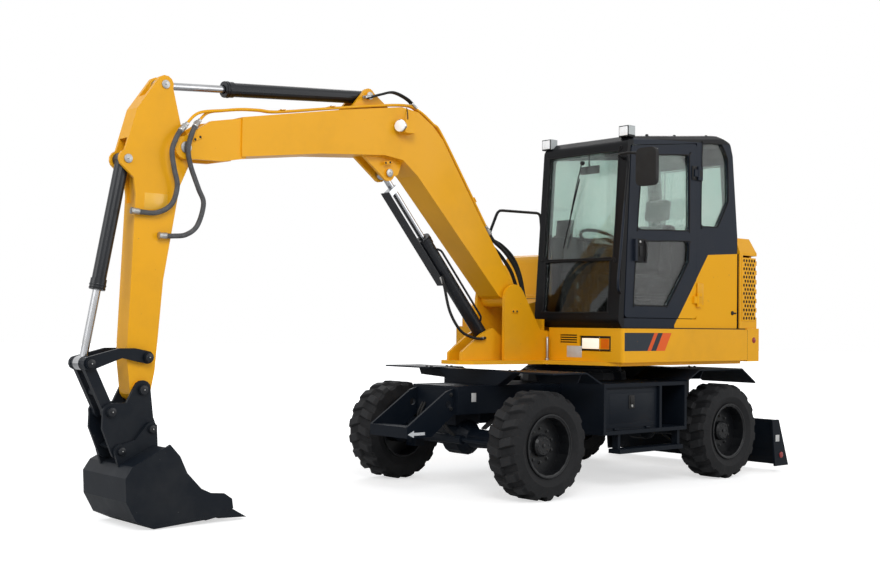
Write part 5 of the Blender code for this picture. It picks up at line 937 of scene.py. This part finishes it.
# Cab fittings: a moulded display on a stalk and two round air vents ahead of the operator, a rear-view
# mirror under the roof, a rubber floor mat with ribs, and two foot pedals.
panel = [plate("display", (0.372, 0.150, 2.080), (0.400, 0.330, 2.230), CAB_TRIM, edge=0.006,
               turn=(0, -0.12, 0)),
         hose("stalk", [(0.420, 0.240, FLOOR_Z + 0.300), (0.405, 0.240, 1.900), (0.392, 0.240, 2.100)],
              0.011, CAB_TRIM, sides=12, spacing=0.03)]
together("display", panel, "house")
for k, z in enumerate((1.745, 1.625)):
    vent = [drum("ring", (0.462, 0.320, z), 0.034, 0.022, (1, 0, 0.05), CAB_TRIM, sides=32, edge=0.005),
            drum("ball", (0.470, 0.320, z), 0.024, 0.020, (1, 0, 0.05), SEAL, sides=32, edge=0.004)]
    for j in range(3):
        vent.append(plate("slat", (0.478, 0.298, z - 0.014 + 0.012 * j),
                          (0.482, 0.342, z - 0.011 + 0.012 * j), CAB_TRIM, edge=0.0008))
    together("air_vent_%d" % k, vent, "house")
inner_mirror = [plate("back", (0.395, 0.430, 2.600), (0.412, 0.640, 2.668), CAB_TRIM, edge=0.007,
                      segments=3),
                plate("face", (0.3925, 0.437, 2.606), (0.396, 0.633, 2.662), SILVERED, edge=0.001),
                hose("stem", [(0.410, 0.535, 2.650), (0.415, 0.535, 2.720), (0.405, 0.535, 2.790)], 0.006,
                     CAB_TRIM, sides=10)]
together("inner_mirror", inner_mirror, "house")
mat = [plate("mat", (0.020, 0.280, FLOOR_Z + 0.001), (0.440, 0.900, FLOOR_Z + 0.008), SEAL, edge=0.002)]
for k in range(14):
    mat.append(plate("rib", (0.035 + 0.028 * k, 0.295, FLOOR_Z + 0.007),
                     (0.043 + 0.028 * k, 0.885, FLOOR_Z + 0.0105), SEAL, edge=0.001))
together("floor_mat", mat, "house")
for k, y in enumerate((0.360, 0.660)):
    pedal = [plate("pad", (0.285, y - 0.040, FLOOR_Z + 0.075), (0.400, y + 0.040, FLOOR_Z + 0.090),
                   CAB_TRIM, edge=0.004, turn=(0, -0.65, 0)),
             hose("stem", [(0.400, y, FLOOR_Z + 0.010), (0.395, y, FLOOR_Z + 0.060),
                           (0.360, y, FLOOR_Z + 0.085)], 0.010, CAB_TRIM, sides=10)]
    together("pedal_%d" % k, pedal, "house")


# Boom and arm: box sections of welded plate in yellow enamel. Zinc plated pins join them, each held by a
# small keeper with two bolts, with a grease nipple in its end.
def face_y(x, z, reach, side, *names):
    """How far out the named CAD nodes reach along Y, near an axis in the side view."""
    foot, found = place(x, 0, z), []
    while not found:
        found = [side * vertex.co.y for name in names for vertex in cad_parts[name].data.vertices
                 if (vertex.co.x - foot.x) ** 2 + (vertex.co.z - foot.z) ** 2 < reach ** 2]
        reach *= 1.15
    return side * max(found) - SLEW.y


PINS = (      # name, x, z, radius, body, nodes that carry it
    ("boom_cylinder_head", 2.205, 2.485, 0.036, "boom", ("boom",)),
    ("arm_cylinder_foot", 2.420, 3.050, 0.034, "boom", ("boom",)),
    ("arm_joint", 3.990, 2.490, 0.046, "boom", ("boom",)),
    ("arm_cylinder_head", 4.130, 2.900, 0.034, "arm", ("arm",)),
    ("bucket_cylinder_foot", 4.390, 2.380, 0.034, "arm", ("arm",)),
)
for name, x, z, radius, body, nodes_there in PINS:
    for s, side in ((1, "left"), (-1, "right")):
        y = face_y(x, z, radius + 0.006, s, *nodes_there)
        pin = [drum("pin", (x, y + s * 0.004, z), radius * 0.86, 0.010, (0, s, 0), ZINC, sides=32,
                    edge=0.002),
               drum("nipple", (x, y + s * 0.013, z), 0.005, 0.010, (0, s, 0), ZINC, sides=6, edge=0.001)]
        together("pin_%s_%s" % (name, side), pin, body)


def keeper(name, x, z, lean, y, s, body, finish):
    """A pin's keeper: a small plate with two bolts, standing on a face at y, turned in the side view."""
    flat = plate("keeper", (x - 0.036, min(y, y + s * 0.007), z - 0.013),
                 (x + 0.036, max(y, y + s * 0.007), z + 0.013), finish, edge=0.003, turn=(0, lean, 0))
    ends = [(x + way * 0.022 * cos(lean), y + s * 0.007, z - way * 0.022 * sin(lean)) for way in (-1, 1)]
    heads = bolts("heads", ends, (0, s, 0), 0.0065, BOLT_BLACK)
    return together(name, [flat, heads], body)


# The arm's stop valve is bare zinc and its hose clamp is black, both by their place on its side
stop_valve = zone((0.40, 0.40, 0.39), [(4.150, 1.735), (4.206, 1.735), (4.206, 1.920), (4.150, 1.920)])
hose_clamp = zone((0.012, 0.013, 0.015), [(4.210, 2.016), (4.290, 2.016), (4.290, 2.050), (4.210, 2.050)])
for patch in (stop_valve, hose_clamp):
    patch[1].append((Vector((0, 1, 0)), place(0, 0.0752, 0).y))
dress(enamel("arm_enamel", SUN_YELLOW, SHADED_DUST, YELLOW_CHIP, coat=0.08, gloss=0.20,
             zones=(stop_valve, hose_clamp)), "arm")
BOOM_SIDE_Y = 0.125
keeper("keeper_arm_joint", 3.905, 2.560, 0.5, face_y(3.905, 2.560, 0.09, 1, "boom"), 1, "boom", YELLOW)
keeper("keeper_boom_head", 2.235, 2.560, 0.2, BOOM_SIDE_Y * 0.72, 1, "boom", YELLOW)
keeper("keeper_boom_foot", 0.930, 1.440, 0.0, face_y(0.930, 1.550, 0.13, 1, "house_frame"), 1, "house",
       YELLOW)

# Boom lamp: a round bowl of bright pressed steel with white glass, with a wire to the boom's top
SHINY = enamel("bright_steel", (0.72, 0.73, 0.74), (0.58, 0.58, 0.57), (0.5, 0.5, 0.5), roughness=0.18,
               coat=0.0, cloud=14.0, chips=0.85)
SHINY.node_tree.nodes["Principled BSDF"].inputs["Metallic"].default_value = 1.0
lamp_way = Vector((1, 0.35, 0))
lamp_spot = Vector((2.158, 0.168, 2.840))
lamp = [drum("bowl", lamp_spot, 0.040, 0.060, lamp_way, SHINY, sides=40, edge=0.006, end=0.048),
        drum("rim", lamp_spot + lamp_way.normalized() * 0.032, 0.051, 0.012, lamp_way, SHINY, sides=40,
             edge=0.004)]
together("boom_lamp", lamp, "boom")
drum("boom_lamp_lens", lamp_spot + lamp_way.normalized() * 0.038, 0.044, 0.010, lamp_way, FAINT_LENS,
     "boom", sides=40, edge=0.004)
hose("boom_lamp_wire", [(2.090, 0.150, 2.888), (2.085, 0.146, 2.930), (2.080, 0.132, 2.975),
                        (2.070, 0.112, 3.000)], 0.004, HOSE_BLACK, "boom", sides=8)
# Plain yellow plate on the arm's side, glued on
SIGN = enamel("sign_plate", (0.86, 0.47, 0.040), (0.76, 0.42, 0.060), YELLOW_CHIP, roughness=0.26, coat=0.4)
ARM_SIDE_Y = 0.075
plate("arm_sign", (4.100, ARM_SIDE_Y, 2.063), (4.268, ARM_SIDE_Y + 0.0012, 2.168), SIGN, "arm", edge=0.0004)


# Pipes along the boom's left side and the hoses at their ends. The pipes are steel tube in the boom's
# yellow, held by bolted clips. The hoses at the arm have a grey woven cover and crimped steel ends.
def woven(name, dark, light):
    """A woven cover, its threads crossing on the hose's own map."""
    cover, nodes, links, shader = material(name)
    chart = node(nodes, "UVMap")
    chart.uv_map = "UVMap"
    split = node(nodes, "SeparateXYZ", {0: chart.outputs["UV"]})
    waves = []
    for sign in (1, -1):
        lean = node(nodes, "Math", {0: split.outputs["Y"], 1: sign * 12.0}, operation="MULTIPLY_ADD")
        run = node(nodes, "Math", {0: split.outputs["X"], 1: 12.0, 2: lean.outputs[0]},
                   operation="MULTIPLY_ADD")
        turn = node(nodes, "Math", {0: run.outputs[0], 1: 2 * pi}, operation="MULTIPLY")
        wave = node(nodes, "Math", {0: turn.outputs[0]}, operation="SINE")
        waves.append(wave.outputs[0])
    thread = node(nodes, "Math", {0: waves[0], 1: waves[1]}, operation="MAXIMUM")
    worn = node(nodes, "TexNoise", {"Scale": 18.0, "Detail": 5.0,
                                    "Vector": nodes.new("ShaderNodeTexCoord").outputs["Object"]})
    level = node(nodes, "MapRange", {"From Min": -0.2, "Value": thread.outputs[0]})
    fleck = node(nodes, "Math", {0: level.outputs["Result"], 1: worn.outputs["Fac"]}, operation="MULTIPLY")
    shade = node(nodes, "Mix", {"A": (*dark, 1), "B": (*light, 1), "Factor": fleck.outputs[0]},
                 data_type="RGBA")
    links.new(shade.outputs["Result"], shader.inputs["Base Color"])
    matt = node(nodes, "MapRange", {"To Min": 0.55, "To Max": 0.80, "Value": worn.outputs["Fac"]})
    links.new(matt.outputs["Result"], shader.inputs["Roughness"])
    relief = node(nodes, "Bump", {"Strength": 0.6, "Distance": 0.0012, "Height": thread.outputs[0]})
    links.new(relief.outputs["Normal"], shader.inputs["Normal"])
    return cover


WOVEN = woven("woven_cover", (0.018, 0.019, 0.021), (0.210, 0.212, 0.220))
FRONT_HOSE = [(4.0053, .116, 2.6317), (4.014, .116, 2.6234), (4.048, .128, 2.588), (4.083, .137, 2.530),
              (4.108, .138, 2.450), (4.089, .136, 2.339), (4.057, .126, 2.223), (4.090, .113, 2.102),
              (4.190, .106, 2.040), (4.300, .102, 2.036), (4.360, .100, 2.040), (4.372, .100, 2.041)]
REAR_HOSE = [(3.8973, .094, 2.6677), (3.906, .094, 2.659), (3.948, .132, 2.612), (3.976, .138, 2.540),
             (3.988, .138, 2.468), (3.962, .131, 2.364), (3.895, .122, 2.220), (3.852, .118, 2.121),
             (3.894, .114, 1.973), (3.974, .108, 1.907), (4.070, .104, 1.892), (4.160, .102, 1.890),
             (4.172, .102, 1.890)]
FOOT_HOSES = [[(1.1947, .094, 2.1115), (1.188, .094, 2.102), (1.130, .094, 2.036), (1.000, .094, 1.985),
               (.870, .094, 1.890), (.785, .094, 1.750), (.735, .094, 1.580), (.690, .094, 1.420),
               (.640, .094, 1.310), (.595, .094, 1.262), (.5803, .094, 1.262)],
              [(1.1947, .116, 2.1115), (1.188, .116, 2.102), (1.120, .116, 2.020), (.990, .116, 1.935),
               (.865, .116, 1.810), (.790, .116, 1.660), (.730, .116, 1.490), (.685, .116, 1.350),
               (.640, .116, 1.240), (.595, .116, 1.190), (.5803, .116, 1.190)]]
CYLINDER_HOSE = [(1.640, .0563, 1.700), (1.640, .068, 1.700), (1.632, .086, 1.630), (1.580, .098, 1.430),
                 (1.470, .104, 1.280), (1.340, .110, 1.222), (1.240, .114, 1.212), (1.190, .1005, 1.217),
                 (1.190, .0873, 1.217)]
BRACKET_HOSES = [[(1.985, y, 3.008), (2.005, y, 3.024), (2.080, y, 3.070), (2.211, y, 3.100),
                  (2.329, y, 3.070), (2.440, y, 3.032), (2.490, y, 3.026)] for y in (.107, .128)]


def crimped(name, route, radius, finish, ends=True, **options):
    """A hose with a crimped steel sleeve and a hexagon nut on each end."""
    made = [hose("tube", route, radius, finish, **options)]
    if ends:
        for first, second in ((route[0], route[2]), (route[-1], route[-3])):
            first, way = Vector(first), (Vector(second) - Vector(first)).normalized()
            made.append(hose("sleeve", [first + way * 0.010, first + way * 0.055], radius * 1.22, ZINC,
                             sides=18, spacing=0.006))
            made.append(drum("nut", first + way * 0.006, radius * 1.40, 0.018, way, ZINC, sides=6,
                             edge=0.0015))
    return together(name, made)


front_piece = crimped("front_hose", FRONT_HOSE, 0.017, WOVEN, sides=20, spacing=0.012)
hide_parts("arm_hose_front")
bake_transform(front_piece)
rear_piece = crimped("rear_hose", REAR_HOSE, 0.017, WOVEN, sides=20, spacing=0.012)
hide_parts("arm_hose_rear")
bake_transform(rear_piece)
third_route = [(x, 0.066, z - 0.034 * sin(pi * k / (len(FOOT_HOSES[1]) - 1)))
               for k, (x, y, z) in enumerate(FOOT_HOSES[1])]
foot_pieces = together("boom_foot_hoses", [crimped("foot_hose", route, 0.015, HOSE_BLACK, sides=18,
                                                   spacing=0.014) for route in FOOT_HOSES + [third_route]])
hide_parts("foot_hoses")
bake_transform(foot_pieces)
feed_piece = crimped("feed_hose", CYLINDER_HOSE, 0.0115, HOSE_BLACK, sides=16, spacing=0.012)
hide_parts("cylinder_hose")
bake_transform(feed_piece)


# Steel pipes on the boom: drawn tube painted with the boom, a hexagon nut at each end and two bolts in
# each clip. Two short hoses arch from the pipes to the cylinder's block.
PIPE_ROUTES = [[(1.195, y, 2.112), (1.686, y, 2.806), (1.800, y, 2.906), (1.955, y, 2.994),
                (2.130, y, 3.014), (2.720, y, 2.918), (3.250, y, 2.822), (3.420, y, 2.812),
                (3.560, y, 2.800), (3.700, y, 2.775)] + tail
               for y, tail in ((.094, [(3.820, .094, 2.745), (3.897, .094, 2.668)]),
                        (.116, [(3.900, .116, 2.732), (4.005, .116, 2.632)]))]
pipes = []
for route in PIPE_ROUTES:
    pipes.append(hose("pipe", route, 0.010, YELLOW, sides=14, spacing=0.020))
    for first, second in ((route[0], route[1]), (route[-1], route[-2])):
        first, way = Vector(first), (Vector(second) - Vector(first)).normalized()
        pipes.append(drum("nut", first + way * 0.018, 0.0155, 0.026, way, ZINC, sides=6, edge=0.0015))
boom_top = [(1.225, 2.120), (1.700, 2.790), (1.810, 2.890), (1.960, 2.978), (2.130, 2.998),
            (2.720, 2.902), (3.560, 2.745)]


def top_z(x):
    """The height of the boom's top face at a place along it."""
    for (x0, z0), (x1, z1) in zip(boom_top, boom_top[1:]):
        if x0 <= x <= x1:
            return z0 + (z1 - z0) * (x - x0) / (x1 - x0), atan2(z1 - z0, x1 - x0)
    return boom_top[-1][1], 0.0


for x in (1.370, 2.785, 3.225):
    z, slope = top_z(x)
    across = Vector((-sin(slope), 0, cos(slope)))
    spot = Vector((x, 0.105, z)) + across * 0.029
    pipes.append(plate("clip", spot - Vector((0.022, 0.030, 0.0025)), spot + Vector((0.022, 0.030, 0.0025)),
                       YELLOW, edge=0.0012, turn=(0, -slope, 0)))
    pipes.append(bolts("clip_bolt", [spot + across * 0.0025], across, 0.0065, BOLT_BLACK))
pipe_run = together("pipe_run", pipes, "boom")
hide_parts("boom_pipes")
bracket = together("bracket_hoses", [crimped("bracket_hose", route, 0.0095, HOSE_BLACK, sides=14,
                                             spacing=0.012) for route in BRACKET_HOSES], "boom")
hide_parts("boom_pipes")


# Cylinders: barrels in charcoal enamel with a turned gland, rods of hard chrome with an oily shine, and a
# folded guard over the boom cylinder's rod.
CHROME, nodes, links, shader = material("hard_chrome")
shader.inputs["Metallic"].default_value = 1.0
where = nodes.new("ShaderNodeTexCoord").outputs["Object"]
oil = node(nodes, "TexNoise", {"Scale": 14.0, "Detail": 6.0, "Vector": where})
steel = ramp(nodes, oil.outputs["Fac"], (0.35, (0.47, 0.48, 0.50)), (0.80, (0.36, 0.36, 0.36)))
links.new(steel, shader.inputs["Base Color"])
shine = node(nodes, "MapRange", {"To Min": 0.12, "To Max": 0.30, "Value": oil.outputs["Fac"]})
links.new(shine.outputs["Result"], shader.inputs["Roughness"])
turned = node(nodes, "TexNoise", {"Scale": 900.0, "Vector": where})
relief = node(nodes, "Bump", {"Strength": 0.04, "Distance": 0.0003, "Height": turned.outputs["Fac"]})
links.new(relief.outputs["Normal"], shader.inputs["Normal"])
CYLINDER_BLACK = enamel("cylinder_enamel", (0.0055, 0.0070, 0.0100), (0.0150, 0.0165, 0.0200),
                        (0.06, 0.06, 0.06), roughness=0.30, coat=0.15, gloss=0.28)
dress(CYLINDER_BLACK, "boom_cylinder_barrel", "arm_cylinder_barrel", "bucket_cylinder_barrel")
dress(CHROME, "arm_cylinder_rod", "bucket_cylinder_rod", "blade_cylinder_rod")
dress(CHARCOAL, "steering_rod")
BOOM_ROD_END = 0.900       # the rod's inner end, from the foot's pin; its guard reaches further in
ROD_TAIL_RADIUS = 0.0257
GLAND_WALL = 0.006


def collar(name, centre, radius, length, way, finish):
    """A turned ring that is open in the middle."""
    clear()
    bpy.ops.mesh.primitive_cylinder_add(vertices=48, radius=radius, depth=length, end_fill_type="NOTHING",
                                        location=place(*centre),
                                        rotation=Vector(way).to_track_quat("Z", "Y").to_euler())
    piece = named(name)
    wall = piece.modifiers.new("wall", "SOLIDIFY")
    wall.thickness = GLAND_WALL
    wall.offset = -1
    bpy.ops.object.modifier_apply(modifier="wall")
    soften(piece, 0.0014)
    return settle(piece, finish)


CYLINDERS = (      # name, foot, head, barrel's body, hidden tail of the rod
    ("arm", (2.420, 3.050), (4.130, 2.900), "arm_barrel", 0.25),
    ("bucket", (4.390, 2.380), (4.640, 1.055), "bucket_barrel", 0.20),
    ("boom", (1.120, 1.220), (2.205, 2.485), "boom_barrel", 0.25),
)
for name, foot, head, body, tail in CYLINDERS:
    foot, way = place(foot[0], 0, foot[1]), Vector((head[0] - foot[0], 0, head[1] - foot[1])).normalized()
    barrel = [vertex.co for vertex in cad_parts[name + "_cylinder_barrel"].data.vertices]
    reach = max((point - foot).dot(way) for point in barrel)
    near = [point for point in barrel if (point - foot).dot(way) > reach - 0.004]
    middle = sum(near, Vector()) / len(near)
    radius = max((point - middle).length for point in near)
    spot = foot + way * (reach - 0.030) - SLEW
    spot.y = middle.y - SLEW.y
    gland = [collar("ring", spot, radius + 0.0022, 0.010, way, CYLINDER_BLACK),
             collar("lip", spot + way * 0.022, radius + 0.0012, 0.006, way, SEAL)]
    together(name + "_gland", gland, body)
    # The rod runs on inside the barrel, so that it stays in it when the cylinder is long
    rod = [vertex.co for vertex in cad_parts[name + "_cylinder_rod"].data.vertices]
    rod_end = BOOM_ROD_END if name == "boom" else min((point - foot).dot(way) for point in rod)
    drum(name + "_rod_tail", foot + way * (rod_end - tail / 2 + 0.005) - SLEW, ROD_TAIL_RADIUS,
         tail + 0.010, way, CHROME, name + "_rod", sides=32, edge=0.002)

# Boom cylinder's rod and its guard come as one piece, so the guard's dark enamel goes on by its place
rod_finish = enamel("guarded_rod", (0.47, 0.48, 0.50), (0.38, 0.38, 0.38), (0.4, 0.4, 0.4), roughness=0.20,
                    coat=0.0, peel=0.02, chips=0.90)
nodes, links = rod_finish.node_tree.nodes, rod_finish.node_tree.links
shader = nodes["Principled BSDF"]
bright = shader.inputs["Base Color"].links[0].from_socket
where = nodes.new("ShaderNodeTexCoord").outputs["Object"]
foot, head = place(1.120, 0, 1.220), place(2.205, 0, 2.485)
way = (head - foot).normalized()
across = Vector((way.z, 0, -way.x))
off_axis = node(nodes, "VectorMath", {0: where, 1: across}, operation="DOT_PRODUCT")
guarded = node(nodes, "Math", {0: off_axis.outputs["Value"], 1: across.dot(foot) + 0.062},
               operation="GREATER_THAN")
rod_paint = node(nodes, "Mix", {"B": (0.0080, 0.0095, 0.0130, 1), "Factor": guarded.outputs[0],
                                "A": bright}, data_type="RGBA")
links.new(rod_paint.outputs["Result"], shader.inputs["Base Color"])
metal = node(nodes, "Math", {0: guarded.outputs[0], 1: -1.0, 2: 1.0}, operation="MULTIPLY_ADD")
links.new(metal.outputs[0], shader.inputs["Metallic"])
dress(rod_finish, "boom_cylinder_rod")


# Bucket linkage and bucket: cast and welded steel in charcoal enamel that wear takes off. Digging has
# bared the teeth and the cutting edge, and dry earth greys the lower shell.
WORN_STEEL = enamel("worn_charcoal", (0.0048, 0.0074, 0.0118), (0.0170, 0.0190, 0.0220), (0.06, 0.06, 0.06),
                    roughness=0.44, coat=0.03, cloud=3.2, chips=0.730, gloss=0.16)
dress(WORN_STEEL, "bucket", "quick_coupler", "rocker", "push_link")
LINK_PINS = (      # name, x, z, radius, body, nodes that carry it
    ("rocker", 4.240, 1.090, 0.034, "rocker", ("rocker",)),
    ("link_head", 4.640, 1.055, 0.034, "rocker", ("rocker", "push_link")),
    ("link_foot", 4.490, 0.745, 0.034, "bucket", ("quick_coupler",)),
    ("arm_tip", 4.270, 0.880, 0.036, "bucket", ("quick_coupler",)),
    ("bucket_near", 4.215, 0.626, 0.030, "bucket", ("bucket",)),
    ("bucket_far", 4.428, 0.495, 0.030, "bucket", ("bucket",)),
)
for name, x, z, radius, body, nodes_there in LINK_PINS:
    for s, side in ((1, "left"), (-1, "right")):
        y = face_y(x, z, radius + 0.006, s, *nodes_there)
        cap = [drum("cap", (x, y + s * 0.0035, z), radius * 0.82, 0.009, (0, s, 0), CYLINDER_BLACK,
                    sides=32, edge=0.002),
               drum("nipple", (x, y + s * 0.011, z), 0.0045, 0.009, (0, s, 0), ZINC, sides=6, edge=0.001)]
        together("cap_%s_%s" % (name, side), cap, body)


# Blade, step and girder fittings: red reflectors on the blade's ends, plain aluminium plates, and a
# painted arrow on the step's plate.
blade_low, blade_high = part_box("dozer_blade")
for s, side in ((1, "left"), (-1, "right")):
    y = (blade_high.y if s > 0 else blade_low.y) - SLEW.y
    drum("blade_reflector_" + side, (-1.742, y + s * 0.003, 0.160), 0.028, 0.008, (0, s, 0), RED_PRISM,
         "blade", sides=32, edge=0.002)
    plate("blade_label_" + side, (-1.715, min(y, y + s * 0.0012), 0.285),
          (-1.655, max(y, y + s * 0.0012), 0.345), LABEL, "blade", edge=0.0004)
plate("girder_label", (1.445, 0.2700, 0.715), (1.495, 0.2712, 0.785), LABEL, "undercarriage", edge=0.0004)
ARROW_WHITE = (0.62, 0.64, 0.66)
arrow = (zone(ARROW_WHITE, [(1.940, 0.474), (2.052, 0.474), (2.052, 0.496), (1.940, 0.496)]),
         zone(ARROW_WHITE, [(2.050, 0.458), (2.050, 0.512), (2.112, 0.485)]))
for patch in arrow:
    patch[1].append((Vector((0, 1, 0)), place(0, 0.215, 0).y))
dress(enamel("step_enamel", (0.0036, 0.0062, 0.0108), (0.0085, 0.0112, 0.0160), (0.032, 0.035, 0.040),
             roughness=0.44, coat=0.02, gloss=0.11, zones=arrow), "front_step")
